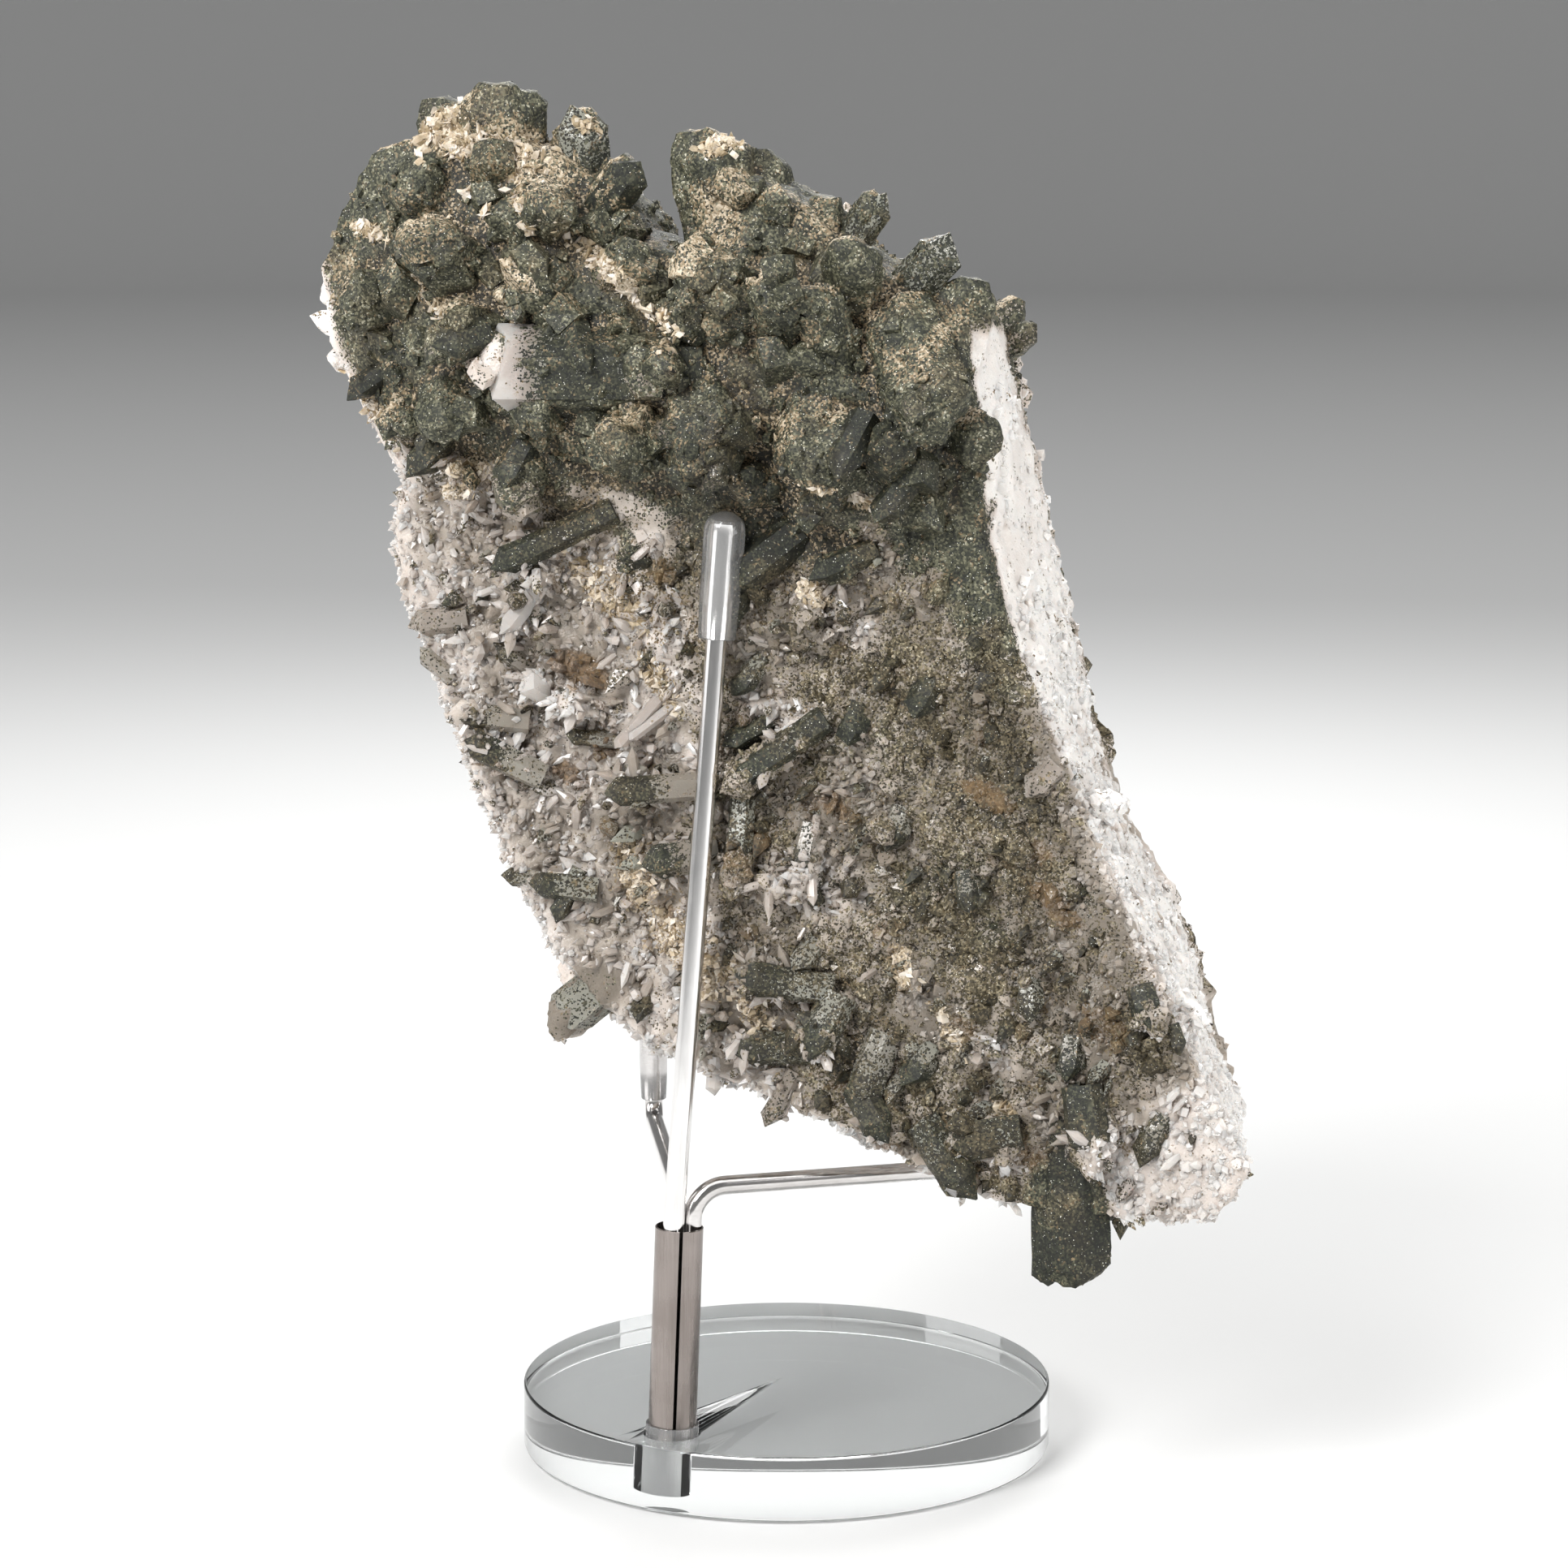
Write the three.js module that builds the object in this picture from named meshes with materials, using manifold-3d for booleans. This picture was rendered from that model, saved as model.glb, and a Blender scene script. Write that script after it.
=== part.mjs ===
// A plate of intergrown quartz crystals with chlorite and adularia, held upright on a round acrylic stand
// by a tall steel rod in front and two bent arms that pass under it and turn up behind it.
// Millimetres, +Z up, +X to the right and +Y away from the viewer.
// The origin is the centre of the base disc's underside.
import * as THREE from 'three';
import { ImprovedNoise } from 'three/addons/math/ImprovedNoise.js';
import { mergeVertices } from 'three/addons/utils/BufferGeometryUtils.js';
import Module from 'manifold-3d';

const wasm = await Module();
wasm.setup();

// Driving dimensions of the stand
const GAP = 0.3;
const DISC = { radius: 37.5, height: 9, edge: 0.4, sides: 60 };
const SOCKET = { x: -15.7, y: -26.3, depth: 7.4, lean: 2.2 };
const LINER = { outer: 3.65, inner: 3.45, collar: 1.5, floor: 1.2 };
const TUBE = { outer: 3.3, inner: 3.1, length: 29.2, sides: 28 };
const TALL_ROD = { radius: 1.45, place: [-0.75, -1.3], top: [-8.2, -22, 133.6], bend: 30 };
const ARM_RADIUS = 1.3;
const RIGHT_ARM = { place: [1.72, 0.33], rise: 34.6, corner: [54, -5, 43], top: 63.2, bend: 4.6 };
const BACK_ARM = { place: [-0.66, 1.62], rise: 34.6, corner: [-19.3, 17, 42.7], top: 61.1, bend: 2.8 };
const SLEEVE = { length: 17.2, cap: 1.7, clearance: 0.12, taper: 0.25, shoulder: 1.2 };
const TALL_SLEEVE_RADIUS = 2.8;
const ARM_SLEEVE_RADIUS = 2.1;
const ROD_SIDES = 12;
const BEND_STEPS = 5;
const SLEEVE_SIDES = 14;

// Driving dimensions of the plate, in its own frame: u to the right, d away from the viewer and v up
const PLATE = { y: -6.4, z: 100, yaw: -17, thickness: 29.4, backInset: 2 };
const HEART = { u: -2, v: 12 };
const RIM = { bulge: 2.6, shares: [0.3, 0.7] };
const RINGS = 8;
const LUMPS = { size: 10, front: 2.6, back: 4 };
const TOP_BULGE = { height: 6.5, from: 33, to: 48, fade: 0.24 };

// The plate's edge, clockwise from the upper left: u and v on the front face, then u and v on the back face
const EDGE = [
  [-54, 82, -52, 76], [-45.5, 85, -44, 80], [-37, 84.5, -36, 80], [-28, 82, -28, 78], [-21, 78, -21, 73],
  [-16, 70.5, -16, 66.5], [-11, 69, -11, 65.5], [-6, 77, -6, 71], [0, 79, 0, 74], [7, 75, 6, 71],
  [13, 70, 12, 66], [19, 66, 18, 62.5], [25, 63, 24, 60], [29, 60, 28.5, 57], [30, 49, 30.5, 47],
  [31, 38, 33, 36], [33, 27, 35, 26], [36, 17, 38, 16], [40, 7, 41, 4], [45, -4, 44.5, -7],
  [50.2, -15, 51, -17], [55.5, -25, 56.3, -26], [60, -36, 58, -37], [66.2, -46.5, 61, -47],
  [68.2, -50.5, 61, -53], [63.6, -57.3, 56, -54.5], [53.5, -58.5, 50, -54.5], [44, -58, 42, -54.5],
  [34, -57, 32, -53.5], [25, -53.5, 22, -52], [15, -50, 10, -50], [5, -45.5, -2, -48],
  [-6, -42.5, -13, -46], [-15, -38.5, -24, -44], [-22.4, -33.4, -33, -38], [-29, -25.5, -38, -30],
  [-33.5, -18, -42, -22], [-37.5, -9, -45, -12], [-42, 1, -48, -2], [-45, 10, -50, 8],
  [-50.5, 22, -54.5, 18], [-51.5, 31.5, -55, 28], [-50, 37.5, -55, 36], [-55, 45.5, -58, 43],
  [-61, 56.5, -62, 52], [-61.5, 66.5, -61, 62], [-58, 75, -58, 70],
];

// The crystals that stand out, in mm and degrees, a heading of 0 pointing along +u and 90 up, each as
// [root u, root v, root depth, heading in the plate, lift towards the viewer, length, width, flatness]
const TOP_CRYSTALS = [
  [-43.5, 79, -10, 100, 4, 10.8, 8.5, 0.9], [-38, 78.5, -11, 84, 6, 13.2, 12, 0.8],
  [-34.2, 79, -10, 84, 4, 11.6, 6, 0.9], [-25.6, 75.5, -9, 94, 4, 12.6, 7.6, 0.8],
  [-25.6, 70.5, -13, 50, 10, 14, 5.4, 0.8], [-4.4, 67.5, -11, 99, 3, 18.4, 12.2, 0.8],
  [0, 71, -7, 102, 0, 11.4, 9.5, 0.8], [6.5, 68, -9, 84, 5, 8.8, 9, 0.8],
  [10.5, 68, -10, 56, 4, 10.5, 5, 0.9], [16.8, 61, -12, 47, 6, 13.5, 5.6, 0.8],
  [25.3, 54, -10, 78, 2, 12.8, 10.5, 0.7], [27.5, 54.5, 5, 76, -8, 9, 6, 0.9],
  [-49.5, 77, -8, 148, 5, 8.5, 8, 0.9], [-54, 57.5, -11, -145, 10, 8.5, 5.5, 0.9],
  [-57, 63, -9, 175, 8, 6.5, 7, 0.9],
];
const FACE_CRYSTALS = [
  [-11.5, 53.5, -19, 180, 10, 22, 12.5, 0.75], [-15, 45.5, -16, 183, 10, 14, 9.5, 0.8],
  [-25, 63, -19, 160, 40, 8.5, 7, 0.9], [-1, 62, -18, 130, 45, 11, 12, 0.8],
  [12.5, 55, -19, 100, 25, 12, 7.5, 0.8], [22, 57, -18, -55, 32, 14, 12.5, 0.7],
  [-7, 52.5, -17, -68, 32, 15, 13.5, 0.8], [-13.5, 51, -16, -102, 38, 13, 10, 0.8],
  [9, 50, -18, -80, 35, 13, 10, 0.8], [18.5, 34.5, -15, 166, 14, 12, 6.2, 0.7],
  [-14.5, 64, -16, 115, 35, 8.5, 8, 0.9], [-42, 52, -17, -80, 42, 10.5, 9, 0.9],
  [-40, 66, -18, 120, 50, 10, 10, 0.9], [-50, 63, -16, 190, 45, 9, 9, 0.9],
  [4, 60, -19, 60, 48, 10, 9, 0.8], [27, 47, -14, -20, 30, 8, 8, 0.8],
  [-30, 73, -16, 40, 48, 10, 9.5, 0.9], [-46, 74, -14, 100, 42, 9, 9, 0.9],
  [14, 64, -17, 75, 40, 10, 8.5, 0.8], [-28, 51, -17, -100, 58, 10, 9, 0.9],
  [-33, 43, -15, -60, 45, 9, 7, 0.9], [-47, 49, -14, -120, 50, 8, 7, 0.9],
  [-36, 58, -18, 160, 55, 9, 9, 0.9],
];
const DRUSE_CRYSTALS = [
  [17, 30, -14, -157, 16, 9, 4, 0.8], [-20, 34, -14.5, -154, 12, 17.5, 4.4, 0.8],
  [-42, 19, -12, -172, 6, 8.5, 4.3, 0.8], [-43.5, 11.5, -12, 140, 6, 6, 3.4, 0.9],
  [-33.5, 5.6, -14, 174, 26, 11, 3.8, 0.9], [-31, -1.6, -14, 153, 26, 12, 4.2, 0.9],
  [-6.5, -2.2, -14, -176, 20, 14.5, 4.3, 0.9], [-31.5, 23.5, -14.5, -123, 18, 8.5, 3.4, 0.8],
  [-30.5, 10.4, -13, 180, 78, 5, 5, 0.9], [8.4, 6.6, -14, -144, 20, 16, 4.8, 0.8],
  [-1.6, -5.5, -14, -91, 30, 13, 4.3, 0.9], [8.1, -8.4, -13.5, -96, 36, 9.5, 4.3, 0.9],
  [-6.8, -11.6, -14, -170, 20, 9.5, 4.9, 0.9], [-23.5, -17.5, -13.5, 175, 24, 9.5, 3.9, 0.8],
  [6.5, -37.8, -13, -178, 14, 11, 4.9, 0.85], [9.5, -29, -14, 172, 20, 12.5, 4.5, 0.8],
  [11.5, -31.5, -13.5, -113, 32, 9.5, 5.6, 0.9], [5.2, -41.5, -11, -117, 4, 8.5, 3.1, 0.8],
  [16, -43, -12.5, -56, 24, 9.5, 5.1, 0.9], [35.5, -47.3, -13.5, -168, 24, 9.5, 4.9, 0.8],
  [25, -48, -13, -50, 18, 11, 5.8, 0.8], [12.5, -46, -4, -87, 0, 8, 3.3, 0.9],
  [17.3, -37, -13.5, -106, 16, 9, 5, 0.8], [46.5, -43.5, -13.5, -78, 32, 10.5, 6.8, 0.8],
  [54, -28, -13, -67, 38, 7, 5.4, 0.9], [22, -24, -14, -70, 40, 6, 4.2, 0.9],
];
// Two prisms that hang past the plate's lower edge, and the crystals behind its right edge
const HANGING_PRISMS = [
  [-16.4, -26, -10, -139, 4, 18.6, 6.6, 0.85], [43.6, -46, -12.5, -88, 2, 22, 10.4, 0.5],
];
const BACK_EDGE_CRYSTALS = [
  [49.5, -23, 9, -68, -12, 19, 10, 0.7], [43, -10, 11, -64, -10, 12, 8, 0.7],
  [32.5, 23, 8, -60, -6, 11, 7, 0.7], [26, 46, 8, -82, -6, 16, 10, 0.6],
  [37.5, 4, 12, -66, -16, 10, 8, 0.7],
];
// How many crystals are scattered where none is placed by hand, and their least and greatest
// widths, lengths and lifts from the face
const SCATTER = {
  seed: 71,
  top: { count: 10, width: [6.5, 9.5], length: [7, 9.5], lift: [35, 75] },
  druse: { count: 8, width: [3, 4.5], length: [6, 8.5], lift: [20, 60] },
  back: { count: 17, width: [7, 13], length: [7, 11], lift: [25, 65] },
  rim: { count: 9, width: [3, 5], length: [5, 7], lift: [-20, 20] },
  reach: 0.93,
  root: 1.5,
  flatness: 0.9,
  turn: 0.618,
};
// A crystal's pointed end is this many times its width long, and a blunt one ends at this share of its width
const TERMINATION = 0.55;
const BLUNTNESS = 0.42;
const SUNK = 2.5;

const radians = THREE.MathUtils.degToRad;
const vector = (x, y, z) => new THREE.Vector3(x, y, z);
const noise = new ImprovedNoise();

THREE.MathUtils.seededRandom(SCATTER.seed);
const random = () => THREE.MathUtils.seededRandom();
const between = ([low, high]) => THREE.MathUtils.lerp(low, high, random());

// A closed three.js shape as a solid that can be joined and cut
function toSolid(geometry) {
  const bare = geometry.clone();
  bare.deleteAttribute('normal');
  bare.deleteAttribute('uv');
  const { attributes, index } = mergeVertices(bare, 1e-4);
  return new wasm.Manifold(new wasm.Mesh({
    numProp: 3,
    vertProperties: new Float32Array(attributes.position.array),
    triVerts: new Uint32Array(index.array),
  }));
}

function toGeometry(solid) {
  const mesh = solid.getMesh();
  const geometry = new THREE.BufferGeometry();
  geometry.setAttribute('position', new THREE.BufferAttribute(new Float32Array(mesh.vertProperties), 3));
  geometry.setIndex(new THREE.BufferAttribute(new Uint32Array(mesh.triVerts), 1));
  geometry.computeVertexNormals();
  return geometry;
}

function named(name, geometry, material) {
  const mesh = new THREE.Mesh(geometry, material);
  mesh.name = name;
  return mesh;
}

// A solid of revolution about +Z from a profile of [radius, height] points that starts and ends on the axis
// or closes on itself
function turned(profile, sides) {
  const points = profile.map(([radius, height]) => new THREE.Vector2(radius, height));
  return new THREE.LatheGeometry(points, sides).rotateX(Math.PI / 2);
}

// Materials
const quartz = new THREE.MeshStandardMaterial({ color: 0x6f6e62, roughness: 0.6, metalness: 0 });
const steel = new THREE.MeshStandardMaterial({ color: 0xc9c5c2, roughness: 0.18, metalness: 1 });
const darkSteel = new THREE.MeshStandardMaterial({ color: 0x9c9089, roughness: 0.25, metalness: 1 });
const clear = { roughness: 0.05, metalness: 0, transparent: true, opacity: 0.35 };
const acrylic = new THREE.MeshStandardMaterial({ color: 0xf2f5f5, ...clear });
const silicone = new THREE.MeshStandardMaterial({ color: 0xe9ebeb, ...clear });

// The post's frame: its origin is where its axis meets the disc's top, and its +Z runs up the leaning axis
const post = new THREE.Group();
post.position.set(SOCKET.x, SOCKET.y, DISC.height);
post.rotation.y = radians(SOCKET.lean);
post.updateMatrixWorld();

const plate = new THREE.Group();
plate.position.set(0, PLATE.y, PLATE.z);
plate.rotation.z = radians(PLATE.yaw);
plate.updateMatrixWorld();

// The stand
function discGeometry() {
  const { radius, height, edge, sides } = DISC;
  const disc = turned([
    [0, 0], [radius - edge, 0], [radius, edge], [radius, height - edge], [radius - edge, height], [0, height],
  ], sides);
  const bore = turned([
    [0, -SOCKET.depth], [LINER.outer + GAP, -SOCKET.depth], [LINER.outer + GAP, height], [0, height],
  ], TUBE.sides).applyMatrix4(post.matrixWorld);
  return toGeometry(toSolid(disc).subtract(toSolid(bore)));
}

// The clear cup that holds the tube in the disc, with a collar on the disc's top
function linerGeometry() {
  const bottom = -SOCKET.depth + GAP;
  return turned([
    [0, bottom], [LINER.outer, bottom], [LINER.outer, LINER.collar], [LINER.inner, LINER.collar],
    [LINER.inner, bottom + LINER.floor], [0, bottom + LINER.floor],
  ], TUBE.sides);
}

const tubeFoot = -SOCKET.depth + GAP + LINER.floor + GAP;

function tubeGeometry() {
  const { outer, inner, length, sides } = TUBE;
  return turned([
    [outer, tubeFoot], [outer, length], [inner, length], [inner, tubeFoot], [outer, tubeFoot],
  ], sides);
}

// A path that an extrusion follows from point to point, so that a straight stretch takes one step
class PointPath extends THREE.Curve {
  constructor(points) {
    super();
    this.points = points;
  }

  getPoint(t) {
    const place = t * (this.points.length - 1);
    const i = Math.min(Math.floor(place), this.points.length - 2);
    return this.points[i].clone().lerp(this.points[i + 1], place - i);
  }

  getPointAt(u) {
    return this.getPoint(u);
  }

  getTangentAt(u) {
    const last = this.points.length - 1;
    const i = Math.round(u * last);
    const before = this.points[Math.max(i - 1, 0)];
    const after = this.points[Math.min(i + 1, last)];
    return after.clone().sub(before).normalize();
  }
}

// The points of a wire that is straight between its corners and round at them
function bentWire(corners, bendRadius) {
  const points = [corners[0]];
  for (let i = 1; i < corners.length - 1; i += 1) {
    const back = corners[i - 1].clone().sub(corners[i]).normalize();
    const on = corners[i + 1].clone().sub(corners[i]).normalize();
    const halfAngle = back.angleTo(on) / 2;
    const reach = bendRadius / Math.tan(halfAngle);
    const inward = back.clone().add(on).normalize();
    const centre = corners[i].clone().addScaledVector(inward, bendRadius / Math.sin(halfAngle));
    const start = corners[i].clone().addScaledVector(back, reach).sub(centre);
    const end = corners[i].clone().addScaledVector(on, reach).sub(centre);
    const turn = new THREE.Vector3().crossVectors(start, end).normalize();
    const sweep = start.angleTo(end);
    for (let step = 0; step <= BEND_STEPS; step += 1) {
      points.push(start.clone().applyAxisAngle(turn, (sweep * step) / BEND_STEPS).add(centre));
    }
  }
  points.push(corners.at(-1));
  return points;
}

function wireGeometry(points, radius) {
  const section = new THREE.Shape(Array.from({ length: ROD_SIDES }, (_, side) => {
    const angle = (2 * Math.PI * side) / ROD_SIDES;
    return new THREE.Vector2(radius * Math.cos(angle), radius * Math.sin(angle));
  }));
  const extrudePath = new PointPath(points);
  return new THREE.ExtrudeGeometry(section, { steps: points.length - 1, extrudePath, bevelEnabled: false });
}

// A point in the post's tube, in the stand's frame
function inPost([x, y], height) {
  return new THREE.Vector3(x, y, height).applyMatrix4(post.matrixWorld);
}

const rodFoot = tubeFoot + GAP;

function tallWirePoints({ place, top, bend }) {
  return bentWire([inPost(place, rodFoot), inPost(place, TUBE.length + ARM_RADIUS), vector(...top)], bend);
}

// Each arm leaves the tube upwards, runs level under the plate and turns up behind it
function armWirePoints({ place, rise, corner, top, bend }) {
  const [x, y, z] = corner;
  return bentWire([inPost(place, rodFoot), inPost(place, rise), vector(x, y, z), vector(x, y, top)], bend);
}

// Moves a shape made along +Z from the origin to the end of a wire
function atWireEnd(geometry, points) {
  const end = points.at(-1);
  const along = end.clone().sub(points.at(-2)).normalize();
  const turn = new THREE.Quaternion().setFromUnitVectors(vector(0, 0, 1), along);
  return geometry.applyQuaternion(turn).translate(end.x, end.y, end.z);
}

// A round-ended cap over the end of a rod, open at its foot
function sleeveGeometry(points, rodRadius, outer) {
  const { length, cap, clearance, taper, shoulder } = SLEEVE;
  const bore = rodRadius + clearance;
  const foot = cap - length;
  const profile = [
    [0, clearance], [bore, clearance], [bore, foot], [outer - taper, foot], [outer, foot * 0.7],
    [outer, -shoulder], [outer * 0.86, clearance], [outer * 0.55, cap * 0.72], [0, cap],
  ];
  return atWireEnd(turned(profile, SLEEVE_SIDES), points);
}

// The plate
const frontEdge = EDGE.map(([u, v]) => vector(u, 0, v));
const backEdge = EDGE.map((row) => vector(row[2], 0, row[3]));
const heart = vector(HEART.u, 0, HEART.v);
const halfThickness = PLATE.thickness / 2;

// The point a share of the way round an edge
function alongEdge(edge, share) {
  const place = share * edge.length;
  const s = Math.floor(place);
  return edge[s % edge.length].clone().lerp(edge[(s + 1) % edge.length], place - s);
}

// How deep the front face lies at a place; reach is 0 in the middle of the face and 1 at its edge
function frontDepth(u, v, reach) {
  const inside = THREE.MathUtils.smoothstep(1 - reach, 0, TOP_BULGE.fade);
  const bulge = TOP_BULGE.height * THREE.MathUtils.smoothstep(v, TOP_BULGE.from, TOP_BULGE.to) * inside;
  const lumps = LUMPS.front * noise.noise(u / LUMPS.size, 0.5, v / LUMPS.size) * (0.4 + 0.6 * inside);
  return -halfThickness - bulge - lumps;
}

function backDepth(u, v) {
  return halfThickness - PLATE.backInset + LUMPS.back * noise.noise(u / LUMPS.size, 7.5, v / LUMPS.size);
}

// The ring of points at a reach on a face
function faceRing(edge, depth, ring) {
  const count = Math.max(Math.round((edge.length * ring) / RINGS), 1);
  return Array.from({ length: count }, (_, i) => {
    const point = heart.clone().lerp(alongEdge(edge, i / count), ring / RINGS);
    point.y = depth(point.x, point.z, ring / RINGS);
    return point;
  });
}

// The ring of points a share of the way from the front edge to the back one; it bulges, but not underneath
function rimRing(front, back, share) {
  return front.map((edgePoint, s) => {
    const point = edgePoint.clone().lerp(back[s], share);
    const out = point.clone().sub(heart).setY(0).normalize();
    const unevenness = 0.75 + 0.7 * noise.noise(s * 0.61, share * 9, 0.5);
    return point.addScaledVector(out, RIM.bulge * unevenness * (1 - Math.max(-out.z, 0)));
  });
}

// Joins two rings with triangles; they may differ in their number of points, and a single point is a centre
function joinRings(near, far, index) {
  const [n, m] = [near.length, far.length];
  for (let i = 0, j = 0; i < n || j < m;) {
    if (j < m && (i === n || (j + 1) / m <= (i + 1) / n)) {
      if (m > 1) index.push(near[i % n], far[(j + 1) % m], far[j]);
      j += 1;
    } else {
      if (n > 1) index.push(near[i], near[(i + 1) % n], far[j % m]);
      i += 1;
    }
  }
}

// The closed skin of the plate: rings from the middle of the front face out to its edge,
// round the bulging rim and back in over the back face
function plateSkin() {
  const order = Array.from({ length: RINGS + 1 }, (_, ring) => ring);
  const front = order.map((ring) => faceRing(frontEdge, frontDepth, ring));
  const back = order.map((ring) => faceRing(backEdge, backDepth, ring));
  const rim = RIM.shares.map((share) => rimRing(front.at(-1), back.at(-1), share));
  const rings = [...front, ...rim, ...back.reverse()];
  const positions = rings.flat().flatMap((point) => point.toArray());
  const index = [];
  let first = 0;
  const numbered = rings.map((ring) => ring.map(() => first++));
  for (let r = 0; r < numbered.length - 1; r += 1) joinRings(numbered[r], numbered[r + 1], index);
  const geometry = new THREE.BufferGeometry();
  geometry.setAttribute('position', new THREE.Float32BufferAttribute(positions, 3));
  geometry.setIndex(index);
  return geometry;
}

// A six-sided prism with a pointed or blunt end, its root sunk in the plate
function crystalGeometry([u, v, depth, heading, lift, length, width, flatness], blunt) {
  const radius = width / 2;
  const sunk = Math.max(SUNK, radius);
  const shoulder = length - width * TERMINATION * (1 - blunt) * (0.8 + 0.4 * random());
  const tip = blunt > 0 ? [[radius * blunt, length]] : [];
  const crystal = turned([
    [0, -sunk], [radius * 0.96, -sunk], [radius, Math.max(shoulder, length * 0.3)], ...tip, [0, length],
  ], 6);
  const position = crystal.attributes.position;
  const [leanX, leanY] = [(random() - 0.5) * width * 0.4, (random() - 0.5) * width * 0.4];
  for (let i = 0; i < position.count; i += 1) {
    const atTip = position.getZ(i) > length - 1e-3;
    if (atTip) position.setXY(i, position.getX(i) + leanX, position.getY(i) + leanY);
  }
  const [turn, raise] = [radians(heading), radians(lift)];
  const along = vector(Math.cos(turn) * Math.cos(raise), -Math.sin(raise), Math.sin(turn) * Math.cos(raise));
  const flat = vector(0, 1, 0).addScaledVector(along, -along.y).normalize();
  const across = new THREE.Vector3().crossVectors(flat, along);
  const spin = new THREE.Matrix4().makeRotationZ((random() - 0.5) * 0.9);
  const frame = new THREE.Matrix4().makeBasis(across, flat.multiplyScalar(flatness), along);
  return crystal.applyMatrix4(spin).applyMatrix4(frame.setPosition(u, depth, v));
}

// The rows of the crystals scattered over one zone of a face; side is 1 for the front and -1 for the back.
// Golden-ratio steps round the face spread them evenly.
function faceScatter(zone, edge, depthAt, side, belongs) {
  const rows = [];
  for (let turn = random(); rows.length < zone.count; turn = (turn + SCATTER.turn) % 1) {
    const reach = Math.sqrt(random()) * SCATTER.reach;
    const { x, z } = heart.clone().lerp(alongEdge(edge, turn), reach);
    if (belongs(z)) {
      const size = [between(zone.length), between(zone.width)];
      const depth = depthAt(x, z, reach) + side * SCATTER.root;
      rows.push([x, z, depth, random() * 360, side * between(zone.lift), ...size, SCATTER.flatness]);
    }
  }
  return rows;
}

// The rows of the crystals round the rim, pointing outwards
function rimScatter({ count, width, length, lift }) {
  return Array.from({ length: count }, (_, made) => {
    const share = between([0.15, 0.85]);
    const place = (made + 0.7 * random()) / count;
    const point = alongEdge(frontEdge, place).lerp(alongEdge(backEdge, place), share);
    const outward = THREE.MathUtils.radToDeg(Math.atan2(point.z - heart.z, point.x - heart.x));
    const size = [between(length), between(width)];
    const depth = (share - 0.5) * PLATE.thickness;
    return [point.x, point.z, depth, outward + between([-40, 40]), between(lift), ...size, SCATTER.flatness];
  });
}

// The stand's rods and sleeves, a little fatter, in the plate's frame: what the specimen is kept clear of
function clearance(wires) {
  const toPlate = plate.matrixWorld.clone().invert();
  const { length, cap } = SLEEVE;
  const foot = cap - length - GAP;
  const cutters = wires.flatMap(([points, radius, outer]) => {
    const cover = turned([
      [0, foot], [outer + GAP, foot], [outer + GAP, GAP], [outer * 0.6 + GAP, cap + GAP], [0, cap + GAP],
    ], SLEEVE_SIDES);
    return [wireGeometry(points, radius + GAP), atWireEnd(cover, points)];
  });
  return wasm.Manifold.union(cutters.map((cutter) => toSolid(cutter.applyMatrix4(toPlate))));
}

function specimenGeometry(wires) {
  const bluntRows = [...TOP_CRYSTALS, ...FACE_CRYSTALS, ...HANGING_PRISMS];
  const sharpRows = [
    ...DRUSE_CRYSTALS,
    ...BACK_EDGE_CRYSTALS,
    ...faceScatter(SCATTER.top, frontEdge, frontDepth, 1, (v) => v > TOP_BULGE.from),
    ...faceScatter(SCATTER.druse, frontEdge, frontDepth, 1, (v) => v < TOP_BULGE.from),
    ...faceScatter(SCATTER.back, backEdge, backDepth, -1, () => true),
    ...rimScatter(SCATTER.rim),
  ];
  const crystals = [
    ...bluntRows.map((row) => crystalGeometry(row, BLUNTNESS)),
    ...sharpRows.map((row) => crystalGeometry(row, 0)),
  ];
  const grown = wasm.Manifold.union([plateSkin(), ...crystals].map(toSolid));
  return toGeometry(grown.subtract(clearance(wires)));
}

const tallWire = tallWirePoints(TALL_ROD);
const rightWire = armWirePoints(RIGHT_ARM);
const backWire = armWirePoints(BACK_ARM);

post.add(
  named('socket_liner', linerGeometry(), silicone),
  named('post_tube', tubeGeometry(), darkSteel),
);
plate.add(named('quartz_specimen', specimenGeometry([
  [tallWire, TALL_ROD.radius, TALL_SLEEVE_RADIUS],
  [rightWire, ARM_RADIUS, ARM_SLEEVE_RADIUS],
  [backWire, ARM_RADIUS, ARM_SLEEVE_RADIUS],
]), quartz));

const model = new THREE.Group();
model.add(
  named('base_disc', discGeometry(), acrylic),
  post,
  named('tall_rod', wireGeometry(tallWire, TALL_ROD.radius), steel),
  named('tall_rod_sleeve', sleeveGeometry(tallWire, TALL_ROD.radius, TALL_SLEEVE_RADIUS), silicone),
  named('right_arm', wireGeometry(rightWire, ARM_RADIUS), steel),
  named('right_arm_sleeve', sleeveGeometry(rightWire, ARM_RADIUS, ARM_SLEEVE_RADIUS), silicone),
  named('back_arm', wireGeometry(backWire, ARM_RADIUS), steel),
  named('back_arm_sleeve', sleeveGeometry(backWire, ARM_RADIUS, ARM_SLEEVE_RADIUS), silicone),
  plate,
);

export default model;
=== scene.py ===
import math
from types import SimpleNamespace

import bmesh
import bpy
import numpy as np
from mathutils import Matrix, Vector
from mathutils.bvhtree import BVHTree
from mathutils.kdtree import KDTree


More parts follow.
